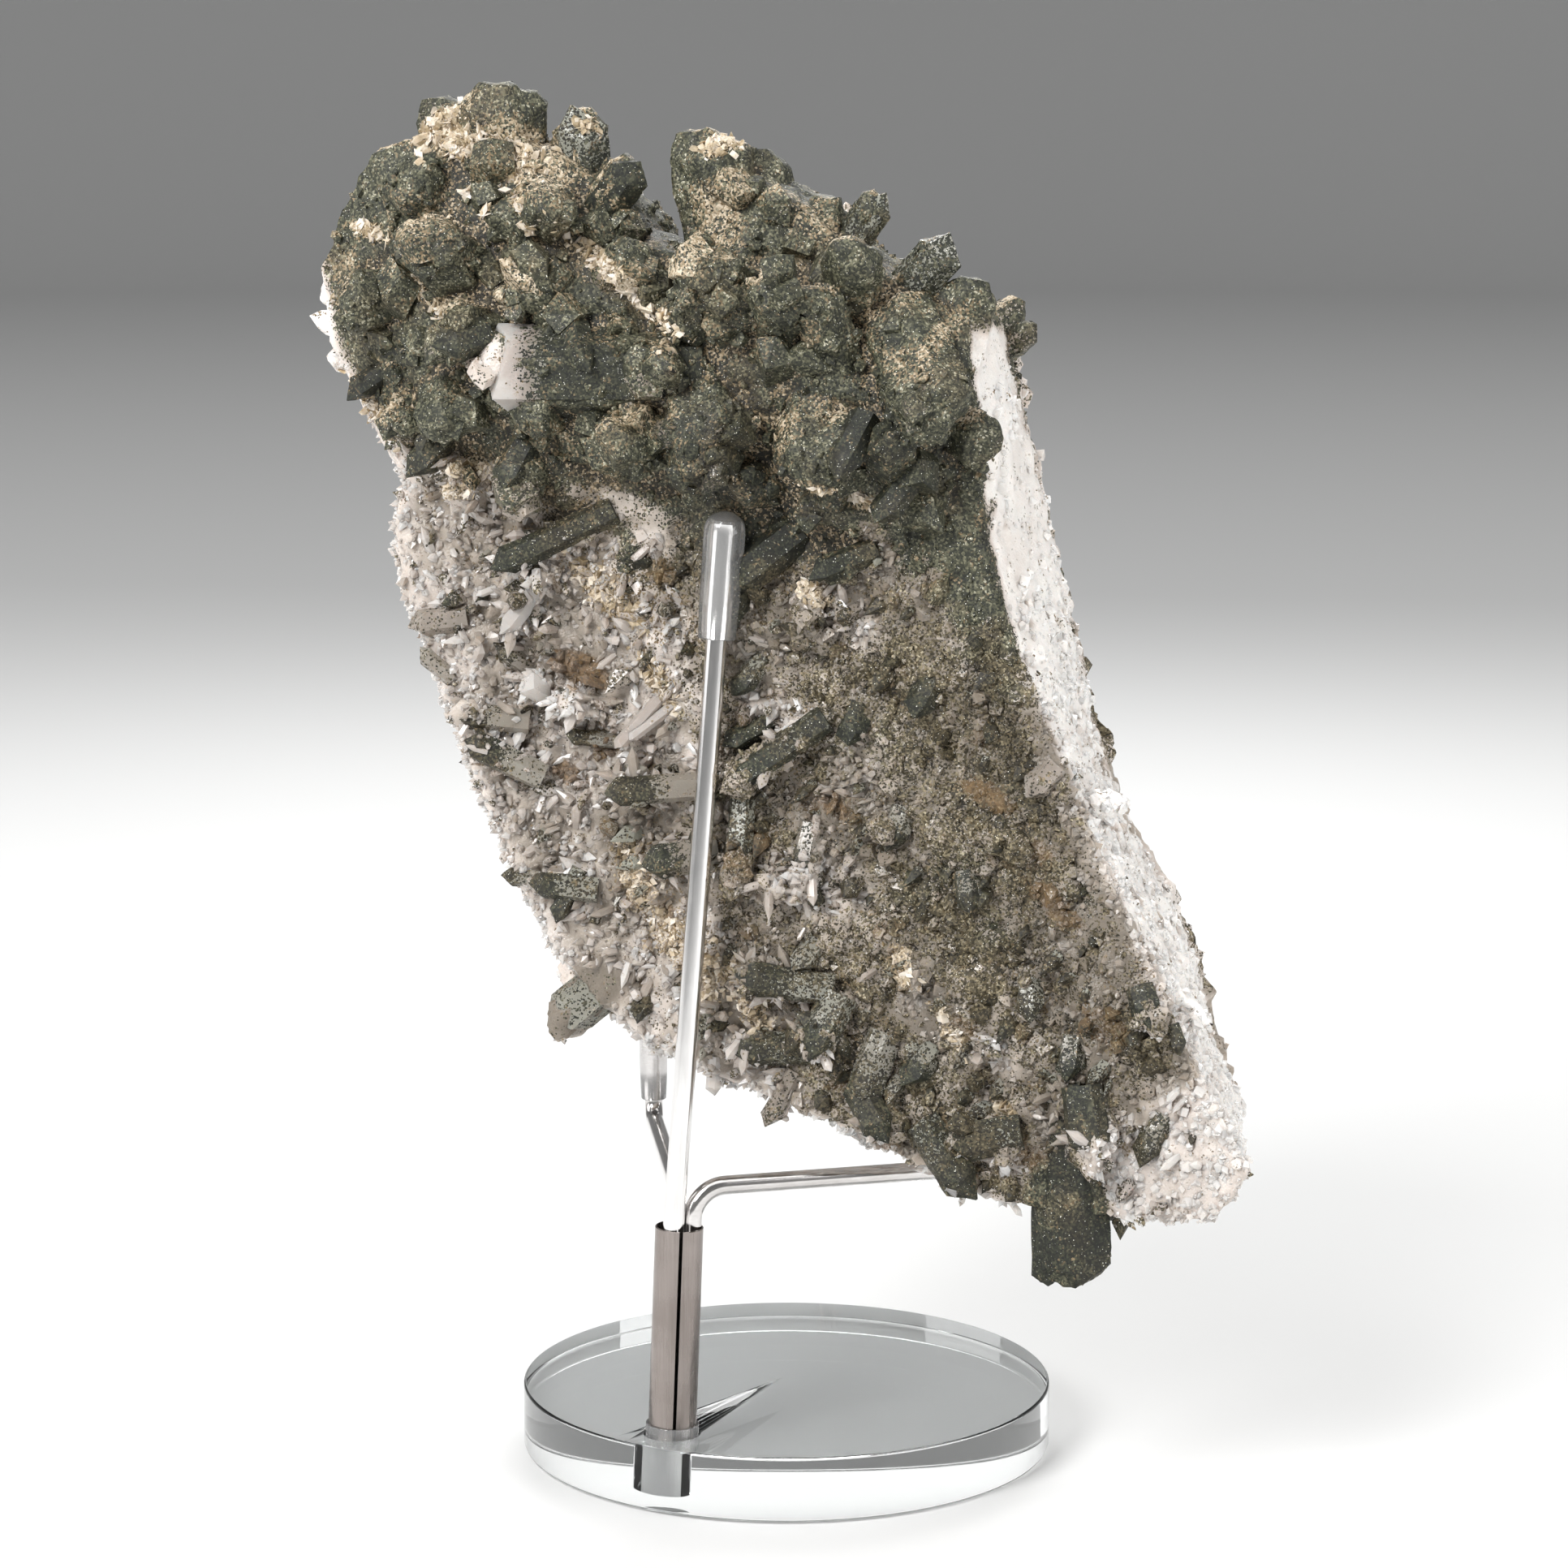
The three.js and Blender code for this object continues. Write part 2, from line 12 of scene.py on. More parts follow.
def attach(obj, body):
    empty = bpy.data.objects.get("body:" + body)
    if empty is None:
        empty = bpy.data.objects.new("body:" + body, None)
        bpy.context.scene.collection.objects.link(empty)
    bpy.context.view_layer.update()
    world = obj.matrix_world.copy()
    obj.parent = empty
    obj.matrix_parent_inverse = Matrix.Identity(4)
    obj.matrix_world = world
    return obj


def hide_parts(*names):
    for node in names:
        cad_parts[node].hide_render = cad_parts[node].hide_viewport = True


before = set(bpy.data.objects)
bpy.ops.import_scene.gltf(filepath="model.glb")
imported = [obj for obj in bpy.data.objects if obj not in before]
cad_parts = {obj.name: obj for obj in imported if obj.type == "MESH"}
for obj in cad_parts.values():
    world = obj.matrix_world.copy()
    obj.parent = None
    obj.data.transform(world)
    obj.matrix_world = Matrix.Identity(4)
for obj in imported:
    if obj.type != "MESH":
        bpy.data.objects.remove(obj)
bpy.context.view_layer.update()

MM = 0.001
rng = np.random.default_rng(20)

# The camera in front of the stand: lens and sensor in mm, place in metres, pitch down in degrees
CAMERA = {"lens": 100, "sensor": 36, "place": (-0.00036, -0.6005, 0.1943), "pitch": 9.414}


def make_camera():
    data = bpy.data.cameras.new("camera")
    data.lens = CAMERA["lens"]
    data.sensor_width = CAMERA["sensor"]
    data.clip_start = 0.01
    camera = bpy.data.objects.new("camera", data)
    bpy.context.scene.collection.objects.link(camera)
    camera.location = CAMERA["place"]
    camera.rotation_euler = (math.radians(90 - CAMERA["pitch"]), 0, 0)
    bpy.context.scene.camera = camera


make_camera()

# The plate's frame, in mm: u to the right, d away from the viewer and v up
PLATE_ORIGIN = np.array([0, -6.4, 100.0])
PLATE_YAW = math.radians(-17)
PLATE_AXES = np.array([
    [math.cos(PLATE_YAW), math.sin(PLATE_YAW), 0],
    [-math.sin(PLATE_YAW), math.cos(PLATE_YAW), 0],
    [0, 0, 1],
])


def to_plate(points_m):
    return (np.asarray(points_m) / MM - PLATE_ORIGIN) @ PLATE_AXES.T


def to_world(points_mm):
    return (np.asarray(points_mm) @ PLATE_AXES + PLATE_ORIGIN) * MM


# Meshes
def unit(vectors):
    """The vectors at length one."""
    return vectors / np.maximum(np.linalg.norm(vectors, axis=-1, keepdims=True), 1e-9)


def make_piece(name, points, faces, material, replaced=(), attributes=None, smooth=False):
    """A mesh piece from points in metres; attributes hold one number for each point."""
    mesh = bpy.data.meshes.new(name)
    mesh.from_pydata(np.asarray(points), [], faces)
    for key, values in (attributes or {}).items():
        layer = mesh.attributes.new(key, "FLOAT", "POINT")
        layer.data.foreach_set("value", np.asarray(values, np.float32))
    mesh.materials.append(material)
    mesh.validate()
    piece = bpy.data.objects.new(name, mesh)
    bpy.context.scene.collection.objects.link(piece)
    if smooth:
        mesh.shade_smooth()
    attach(piece, "root")
    if replaced:
        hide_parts(*replaced)
    return piece


def applied(piece, name, kind, **settings):
    """Adds a modifier, applies it and gives the mesh back."""
    modifier = piece.modifiers.new(name, kind)
    for key, value in settings.items():
        setattr(modifier, key, value)
    depsgraph = bpy.context.evaluated_depsgraph_get()
    mesh = bpy.data.meshes.new_from_object(piece.evaluated_get(depsgraph))
    piece.modifiers.clear()
    old = piece.data
    piece.data = mesh
    bpy.data.meshes.remove(old)
    return mesh


def mesh_arrays(mesh):
    """Points, triangles and point normals of a mesh."""
    mesh.calc_loop_triangles()
    points = np.zeros(len(mesh.vertices) * 3)
    mesh.vertices.foreach_get("co", points)
    triangles = np.zeros(len(mesh.loop_triangles) * 3, np.int32)
    mesh.loop_triangles.foreach_get("vertices", triangles)
    normals = np.zeros(len(mesh.vertices) * 3)
    mesh.vertices.foreach_get("normal", normals)
    return points.reshape(-1, 3), triangles.reshape(-1, 3), normals.reshape(-1, 3)


# Random fields and masks
def field(points, size, seed, waves=18):
    """A smooth random field with lumps of about this size in mm, mostly between -1 and 1."""
    draw = np.random.default_rng(seed)
    heading = unit(draw.normal(size=(waves, 3)))
    rate = 2 * math.pi / (size * draw.uniform(1.2, 2.8, waves))
    phase = draw.uniform(0, 2 * math.pi, waves)
    total = np.zeros(len(points))
    for wave in range(waves):
        total += np.sin(points @ heading[wave] * rate[wave] + phase[wave])
    return total * math.sqrt(2 / waves)


def ramp(value, low, high):
    """A smooth rise from 0 at low to 1 at high."""
    share = np.clip((value - low) / (high - low), 0, 1)
    return share * share * (3 - 2 * share)


def patch(points, centre_u, centre_v, half_length, half_width, heading, soft=0.45):
    """How far each point lies in an oval patch of the face: 1 in it and 0 outside."""
    turn = math.radians(heading)
    u = points[:, 0] - centre_u
    v = points[:, 2] - centre_v
    along = u * math.cos(turn) + v * math.sin(turn)
    across = v * math.cos(turn) - u * math.sin(turn)
    reach = np.hypot(along / half_length, across / half_width)
    return 1 - ramp(reach, 1 - soft, 1 + soft)


# The edges of the plate's front and back faces: v, then the u of the front and the back edge
RIGHT_EDGE = np.array([
    [-60, 66, 58], [-52, 67, 60], [-46, 66, 61], [-36, 60, 57.5], [-25, 55, 55], [-15, 50, 50.5],
    [-4, 45, 43.5], [7, 40, 41.8], [17, 36, 37.8], [27, 33, 35], [38, 31, 32.8], [49, 30, 30.5],
    [60, 29, 27], [80, 8, 6],
])
LEFT_EDGE = np.array([
    [-60, 30, 40], [-50, 15, 10], [-42.5, -6, -20], [-38.5, -15, -31], [-32, -23, -37], [-25.5, -29, -41],
    [-18, -33.5, -44], [-9, -37.5, -46], [1, -42, -49], [10, -45, -51], [22, -49, -54],
    [31.5, -51.5, -56], [37.5, -50, -57], [45.5, -55, -58.5], [56.5, -60, -61], [66.5, -61.5, -60],
    [75, -58, -58], [85, -50, -48],
])
# The lower border of the dark green upper third: u, then v
DARK_BORDER = np.array([
    [-62, 49], [-50, 45], [-38, 38], [-26, 33], [-16, 29], [-4, 26], [10, 27], [24, 23], [36, 20],
])
# The right border of the clear druse on the left: v, then u
DRUSE_BORDER = np.array([[-60, 6], [-35, -2], [-5, -9], [28, -12], [60, -16]])
# Where the chlorite ends on the right, below the middle: v, then u
COVER_BORDER = np.array([
    [-62, 44], [-50, 48.5], [-43, 52], [-38, 58], [-33, 60], [-27, 56], [-18, 50.5], [-9, 46], [5, 41.5],
])
# The line above which only the outline's own crystals stand: u, then v
TOP_LINE = np.array([
    [-60, 74], [-50, 82], [-44, 84], [-31, 84], [-28, 79], [-19, 77], [-14, 69], [-10, 76], [0, 79],
    [9, 73], [15, 68], [22, 62], [28, 58], [34, 54],
])
FRONT_DEPTH, BACK_DEPTH = -14.7, 12.7

# Places on the face: centre u, centre v, half length, half width, heading, strength
ADULARIA = [
    (-15.4, 65.0, 9.9, 1.7, -37, 1), (-39.0, 82.9, 9.5, 2.2, -12, 1), (-36.5, 78.5, 2.2, 1.0, -28, 0.6),
    (-43.5, 87.2, 2.6, 1.4, 30, 0.8), (-39.0, 77.2, 1.2, 0.9, 0, 0.6), (-35.4, 75.2, 1.0, 0.8, 0, 0.6),
    (-30.5, 76.2, 1.6, 1.0, -40, 0.7), (-29.2, 72.4, 0.9, 0.7, 0, 0.6), (-33.2, 79.2, 1.8, 0.8, -20, 0.6),
    (-54.0, 71.7, 3.4, 1.1, -16, 0.9), (-45.6, 64.6, 2.2, 0.9, -43, 0.8),
    (-41.8, 61.1, 1.8, 0.9, -43, 0.8), (-22.3, 85.4, 3.4, 1.6, -22, 0.9), (-4.4, 83.7, 2.9, 1.4, 18, 1),
    (-53.9, 47.6, 5.8, 1.3, -45, 0.7), (-39.8, 40.0, 6.6, 1.2, -13, 0.7),
    (-41.3, 36.9, 3.3, 0.9, -3, 0.6), (14.9, 37.8, 4.7, 1.0, -25, 1), (8.5, 24.3, 2.6, 1.0, -28, 0.9),
    (-21.2, 23.4, 6.7, 2.2, -39, 0.75), (-13.7, 12.1, 4.4, 1.5, -59, 0.7),
    (-16.8, -15.5, 5.8, 2.7, -73, 0.7), (-9.8, -24.9, 8.1, 2.6, -38, 0.75),
    (21.1, -25.3, 3.1, 1.3, -56, 1), (27.5, -33.4, 3.8, 0.9, -63, 0.7), (35.4, -44.7, 1.5, 0.9, -23, 0.8),
    (-0.5, -32.0, 5.4, 1.7, -65, 0.8), (-6.9, -29.6, 3.5, 1.2, -71, 0.6),
]
DUST = [
    (-31.8, 81.7, 9.5, 4.2, -25, 0.9), (-4.4, 73.9, 5.5, 3.4, -60, 0.9), (7.6, 73.5, 5, 2.6, -38, 0.7),
    (18.6, 63.2, 4.6, 2, 39, 0.7), (-20.4, 77.2, 5, 2, -35, 0.8), (8.1, 56.1, 6, 2, 57, 0.7),
    (26.8, 59.1, 4.5, 1.4, 66, 0.8), (-44, 74, 7, 2.5, -30, 0.5), (-24, 44, 9, 3, -10, 0.4),
    (-14, 22, 9, 4, -38, 0.35), (-12, -20, 14, 4, -50, 0.4), (-2, 62, 5, 2, -30, 0.5),
    (-58, 66, 5, 1.5, 70, 0.5),
]
STAINS = [
    (-24.2, 12.7, 4.2, 2.2, -24, 0.9), (-21.7, 2.8, 2.2, 1.5, -34, 0.8), (-26.6, -1.9, 3, 1.5, -34, 0.8),
    (-34.9, -0.3, 3.6, 1.4, -2, 0.4), (40.3, 28.5, 1.2, 1.0, -15, 1), (12.1, -4.5, 3.2, 1.6, -28, 0.5),
    (32.3, -1.8, 4.4, 1.8, -27, 0.5), (41.3, -16.1, 5.3, 1.8, -43, 0.45),
    (-12.5, -20, 2.5, 1.2, -50, 0.6), (34, 40, 2, 1.2, 80, 0.5),
]
# Places where little chlorite lies on the quartz, and where much does
BARE = [
    (2.9, 7.8, 6.6, 2.8, -17, 0.7), (9.2, -15.2, 9.6, 4.5, -17, 0.6), (13.1, 21.4, 6.6, 3.4, -39, 0.55),
    (34.2, -37.0, 4.6, 2.3, -43, 0.5), (-18.8, 35.6, 7.8, 1.8, -15, 0.7), (-14.2, 31.3, 4, 2.3, -36, 0.7),
    (-31.8, 54.5, 4.6, 2.8, -60, 0.9), (0, -40, 6, 3, -30, 0.7), (-9.8, 2.5, 3.4, 2, -56, 0.8),
    (-30.7, 10.4, 2.6, 2.2, -40, 0.9), (12, 82, 3, 2, 0, 0.3),
]
THICK = [
    (1.3, 41.6, 10, 6, -43, 1), (32, 22, 12, 3.2, -78, 0.9), (22, 14, 10, 8, -30, 0.4),
    (37, 2, 10, 2.6, -66, 0.7), (26, -20, 12, 6, -30, 0.4), (-10, 27, 8, 3, 10, 0.5),
    (54, -35, 6, 3, -50, 0.5), (30, -4, 18, 8, -60, 0.35),
]
# Places painted in shade, where shadow falls on the face: the stone there is painted darker
SHADED_PLACES = [
    (1.3, 39, 12, 7, -43, 1), (-8, 29, 9, 3, 10, 0.7), (-52, 52, 7, 3.5, 50, 0.6),
    (20, 45, 7, 5, -60, 0.7), (33, 33, 7, 2.5, -80, 0.7), (44, -26, 14, 7, -58, 0.55),
    (34, 4, 12, 5, -66, 0.5), (24, -14, 10, 6, -30, 0.3), (-28, 55, 5, 3, 0, 0.5),
    (-43.5, 69, 5, 3, 20, 0.5), (6, 60, 5, 4, 60, 0.4),
]
# The two crystals that hang past the lower edge: a clear prism and a flat coated tablet
PRISM = (-25.6, -33.8, 7.5, 4.2, 41)
TABLET = (43.8, -60.0, 10.0, 6.2, -88)
# The smooth bulge of the left outline, with few crystals on it
BULGE = (-66, 57, 11, 5.5, 82)


def gathered(points, places):
    """The strongest share that any of the oval places gives each point."""
    total = np.zeros(len(points))
    for *oval, strength in places:
        total = np.maximum(total, strength * patch(points, *oval))
    return total


def lerp(start, end, share):
    """The value that lies the given share of the way from start to end."""
    return start + (end - start) * share


def edge_at(edge, v, column):
    """The u of an edge at each height: column 1 is the front face and column 2 the back face."""
    return np.interp(v, edge[:, 0], edge[:, column])


def edges_at(points):
    """The u of the left and the right edge at each point's height and depth."""
    _, d, v = points.T
    share = np.clip((d - FRONT_DEPTH) / (BACK_DEPTH - FRONT_DEPTH), 0, 1)
    return [lerp(edge_at(edge, v, 1), edge_at(edge, v, 2), share) for edge in (LEFT_EDGE, RIGHT_EDGE)]


def edge_distance(points):
    """How far inside the front face's left and right edges each point lies, in mm, square to their slant."""
    u, _, v = points.T
    slant = 0.85
    return np.minimum(edge_at(RIGHT_EDGE, v, 1) - u, u - edge_at(LEFT_EDGE, v, 1)) * slant


def past_border(u, v, wander=0.0, fine=0.0):
    """The share of the lower right that lies past the chlorite's border."""
    return ramp(u - np.interp(v, *COVER_BORDER.T) + 1.5 * wander + fine, -3, 3) * ramp(2 - v, 0, 14)


def dust_and_painted_light(points, normals):
    """Cream dust on what faces up and to the left, towards the light on the left: partly real dust and
    partly painted light.
    """
    upward = ramp(normals[:, 2] - 0.45 * normals[:, 0], 0.15, 0.95)
    return 0.6 * upward * ramp(field(points, 5, 4), -0.5, 1.0)


def regions(points, normals):
    """Shares of the stone's regions at each point, and the two fields that make their borders uneven."""
    u, d, v = points.T
    wander, fine = field(points, 7, 1), field(points, 2.2, 2)
    left, right = edges_at(points)
    dark_line = np.interp(u, *DARK_BORDER.T)
    back = ramp(d + 1.5 * wander + 0.6 * fine, 7, 12)
    upper = ramp(v - dark_line + 1.8 * wander + 0.9 * fine, -3, 4)
    left_druse = ramp(np.interp(v, *DRUSE_BORDER.T) - u + 2 * wander, -4, 5) * (1 - upper)
    # The broken right side is bare white quartz up to the crystals at its top
    side = ramp(u - right + 0.5 * fine, -1.6, 0.4) * (1 - back) * ramp(66 - v + 3 * wander, 0, 6)
    high = ramp(v + 3.5 * wander + 1.2 * d, 40, 62)
    side = side * ramp(d, -14.4, -12.2) * (1 - 0.8 * high * ramp(d + 2 * wander + 0.8 * fine, -2, 4))
    # The left side carries small pale crystals below its upper third
    fringe = ramp(left - u, -4.5, 0.5) * ramp(dark_line + 4 - v, -4, 4)
    outer_left = ramp(left - u, -3, 1) * ramp(v, 44, 50) * ramp(70 - v, 0, 6)
    under = ramp(-normals[:, 2], 0.3, 0.8) * ramp(-v, 20, 35) * (1 - back)
    return SimpleNamespace(
        wander=wander, fine=fine, back=back, front=1 - ramp(d, -12.5, -9), upper=upper, side=side,
        left_druse=left_druse, fading=past_border(u, v, wander, fine), fringe=fringe, outer_left=outer_left,
        under=under,
    )


def coating(points, at):
    """The shares of chlorite and of whiteness; each region is laid over those before it."""
    bare = gathered(points, BARE) * at.front
    cover = 0.49 + 0.12 * at.wander + 0.08 * at.fine
    cover = lerp(cover, 0.15 + 0.06 * at.wander, at.left_druse)
    cover = lerp(cover, 1.0, gathered(points, THICK) * at.front)
    cover = lerp(cover, 0.94 + 0.05 * at.wander, at.upper)
    cover = lerp(cover, 0.1, bare)
    # Painted shade: the quartz between the druse's crystals is kept darker than the crystals on it; it is
    # whiter higher up
    shaded_druse_milk = 0.24 + 0.2 * ramp(points[:, 2], -20, 20) + 0.15 * at.wander
    milk = np.maximum(lerp(0.16 + 0.12 * at.wander, shaded_druse_milk, at.left_druse), 0.8 * bare)
    cover, milk = lerp(cover, 0.03, at.side), lerp(milk, 1.0, at.side)
    cover, milk = lerp(cover, cover * 0.2, at.fading), np.maximum(milk, at.fading * 0.7)
    behind = 0.55 + 0.28 * field(points, 13, 3) + 0.1 * at.wander
    for share, coat, white in (
        (at.fringe, 0.06, 0.68), (at.outer_left, 0.12, 0.9), (at.under, 0.08, 0.8),
        (at.back, behind, 0.5 + 0.2 * at.wander),
    ):
        cover, milk = lerp(cover, coat, share), lerp(milk, white, share)
    return cover, milk


def masks(points, normals):
    """What each point of the stone carries: shares of chlorite, cream, white, stain, darkness and hollow;
    the hollow share is painted shade.
    """
    at = regions(points, normals)
    cover, milk = coating(points, at)
    adularia = gathered(points, ADULARIA)
    cream = 0.72 * adularia + 0.12 * at.fine * (adularia > 0.1)
    cream = np.maximum(cream, 0.56 * gathered(points, DUST)) * at.front
    # Partly painted light: cream on what faces up and to the left, towards the light on the left
    cream = np.maximum(cream, dust_and_painted_light(points, normals) * at.upper * (1 - at.back))
    cream = np.maximum(cream, 0.3 * at.back * ramp(field(points, 9, 5), 0.9, 1.8))
    dark = at.upper
    # Painted shade: the shaded places and the hanging crystals, mostly the coated tablet, get a hollow share
    # that darkens their colour
    deep = gathered(points, SHADED_PLACES) * at.front * (1 - at.side)
    for hanging, coat in ((PRISM, 0.25), (TABLET, 1.0)):
        share = patch(points, *hanging, soft=0.15) * (1 - at.back)
        cover = lerp(cover, coat, share)
        milk = lerp(milk, 0.0, share)
        cream = lerp(cream, 0.0, share)
        dark = np.maximum(dark, 0.8 * share)
        deep = np.maximum(deep, 0.35 * coat * share)
    spots = 0.35 * ramp(field(points, 4.5, 6), 1.2, 2.2) * (1 - at.side) * (1 - dark)
    stain = np.maximum(gathered(points, STAINS) * at.front, spots)
    return {
        "cover": np.clip(cover, 0, 1), "cream": np.clip(cream, 0, 1), "milk": np.clip(milk, 0, 1),
        "stain": np.clip(stain, 0, 1), "dark": dark * (1 - 0.4 * at.back), "hollow": 0.5 * deep,
    }


# Materials
class Shader:
    """A material whose nodes are added one at a time; an input takes a value or another node's output."""

    def __init__(self, name):
        self.material = bpy.data.materials.new(name)
        self.material.use_nodes = True
        self.tree = self.material.node_tree
        self.tree.nodes.clear()

    def add(self, kind, inputs, **settings):
        made = self.tree.nodes.new("ShaderNode" + kind)
        for key, value in settings.items():
            setattr(made, key, value)
        for key, value in inputs.items():
            if isinstance(value, bpy.types.NodeSocket):
                self.tree.links.new(value, made.inputs[key])
            else:
                made.inputs[key].default_value = value
        return made

    def place(self):
        return self.add("TexCoord", {}).outputs["Object"]

    def stretched(self, scale):
        return self.add("Mapping", {"Vector": self.place(), "Scale": scale}).outputs["Vector"]

    def attribute(self, name):
        return self.add("Attribute", {}, attribute_name=name).outputs["Fac"]

    def noise(self, scale, detail=3.0, roughness=0.55, vector=None):
        inputs = {"Vector": vector or self.place(), "Scale": scale, "Detail": detail, "Roughness": roughness}
        return self.add("TexNoise", inputs).outputs["Fac"]

    def cells(self, scale):
        return self.add("TexVoronoi", {"Vector": self.place(), "Scale": scale})

    def math(self, operation, first, second=0.5, third=0.5):
        made = self.add("Math", {0: first, 1: second, 2: third}, operation=operation)
        return made.outputs[0]

    def weigh(self, *terms):
        """The sum of value * weight over (value, weight) terms, plus a plain number."""
        total = float(terms[-1])
        for value, weight in terms[:-1]:
            total = self.math("MULTIPLY_ADD", value, weight, total)
        return total

    def step(self, value, low, high, start=0.0, end=1.0):
        inputs = {"Value": value, "From Min": low, "From Max": high, "To Min": start, "To Max": end}
        return self.add("MapRange", inputs).outputs["Result"]

    def mix(self, factor, first, second):
        made = self.add("Mix", {0: factor}, data_type="RGBA")
        for socket, value in ((made.inputs[6], first), (made.inputs[7], second)):
            if isinstance(value, bpy.types.NodeSocket):
                self.tree.links.new(value, socket)
            else:
                socket.default_value = (*value, 1)
        return made.outputs[2]

    def ramp(self, factor, stops):
        made = self.add("ValToRGB", {"Fac": factor})
        elements = made.color_ramp.elements
        while len(elements) < len(stops):
            elements.new(0.5)
        for element, (place, colour) in zip(elements, stops):
            element.position = place
            element.color = (*colour, 1)
        return made.outputs["Color"]

    def bump(self, height, distance_mm, strength):
        inputs = {"Height": height, "Distance": distance_mm * MM, "Strength": strength}
        return self.add("Bump", inputs).outputs["Normal"]

    def finish(self, inputs):
        surface = self.add("BsdfPrincipled", inputs)
        output = self.add("OutputMaterial", {})
        self.tree.links.new(surface.outputs[0], output.inputs["Surface"])
        return self.material


# Chlorite grains to the metre
GRAIN = 3600.0
QUARTZ_IOR = 1.544
# The minerals' colours. Each row of a ramp holds a place from 0 to 1 and a colour
CHLORITE = [
    (0.0, (0.006, 0.007, 0.004)), (0.35, (0.021, 0.023, 0.013)), (0.62, (0.062, 0.062, 0.036)),
    (0.86, (0.17, 0.165, 0.105)), (0.96, (0.46, 0.44, 0.34)),
]
OLIVE = [
    (0.0, (0.012, 0.009, 0.004)), (0.35, (0.045, 0.036, 0.018)), (0.62, (0.115, 0.093, 0.053)),
    (0.86, (0.25, 0.21, 0.13)), (0.96, (0.46, 0.40, 0.28)),
]
MILKY = [(0.4, (0.42, 0.365, 0.31)), (0.7, (0.66, 0.59, 0.54)), (1.0, (0.89, 0.85, 0.81))]
# Painted highlight: the pale colour of the grains that stand for glints
PAINTED_GLINT = (0.86, 0.85, 0.76)
RUST = ((0.075, 0.045, 0.018), (0.26, 0.15, 0.06))
CREAM_DUST = [
    (0.0, (0.11, 0.078, 0.040)), (0.3, (0.25, 0.185, 0.105)), (0.6, (0.52, 0.43, 0.31)),
    (0.95, (0.80, 0.71, 0.58)),
]
CREAM_BLOCK = [
    (0.2, (0.86, 0.79, 0.70)), (0.45, (0.74, 0.64, 0.52)), (0.68, (0.50, 0.40, 0.27)),
    (0.95, (0.22, 0.165, 0.09)),
]


def grain_colour(shader, draw, clots, clouds, dim):
    """Grains of chlorite: olive, and dark green where the stone is dark, with painted shade in hollows and
    shaded places.
    """
    tint = shader.weigh((shader.attribute("dark"), 0.8), (clouds, 2.2), (clots, 0.6), -1.55)
    tint = shader.step(tint, 0.0, 0.6)
    # Painted shade: the hollow share darkens the grains
    hollow = shader.attribute("hollow")
    shade = shader.weigh((draw["Green"], 0.72), (clots, 1.0), (hollow, -0.42), -dim - 0.1)
    return shader.mix(tint, shader.ramp(shade, OLIVE), shader.ramp(shade, CHLORITE))


def quartz_colour(shader, clots, clouds, deep):
    """Quartz from its deep clear colour to milky white, with painted shade in hollows and shaded places."""
    white = shader.weigh((shader.attribute("milk"), 1.0), (clouds, 0.5), (clots, 0.3), -0.4)
    # Painted shade: the hollow share darkens the quartz
    white = shader.weigh((shader.attribute("hollow"), -0.4), (white, 1.0), 0.0)
    return shader.ramp(shader.step(white, 0.0, 1.0), [(0.0, deep), *MILKY])


def with_painted_glints(shader, colour, covered):
    """The colour with a few pale grains where it is covered: painted glints that stand for highlights."""
    glints = shader.cells(GRAIN * 1.5)
    draw = shader.add("SeparateColor", {"Color": glints.outputs["Color"]}).outputs["Green"]
    glint = shader.weigh((draw, 1.0), (glints.outputs["Distance"], -0.25), -0.895)
    glint = shader.step(glint, 0.0, 0.02)
    return shader.mix(shader.math("MULTIPLY", glint, covered), colour, PAINTED_GLINT)


def stained(shader, colour, draw, clots):
    """The colour under brown iron stains."""
    stain = shader.weigh((shader.attribute("stain"), 1.3), (clots, 0.8), (draw["Blue"], -0.5), -0.42)
    stain = shader.step(stain, 0.0, 0.35)
    rust = shader.mix(draw["Blue"], *RUST)
    return shader.mix(shader.math("MULTIPLY", stain, 0.75), colour, rust)


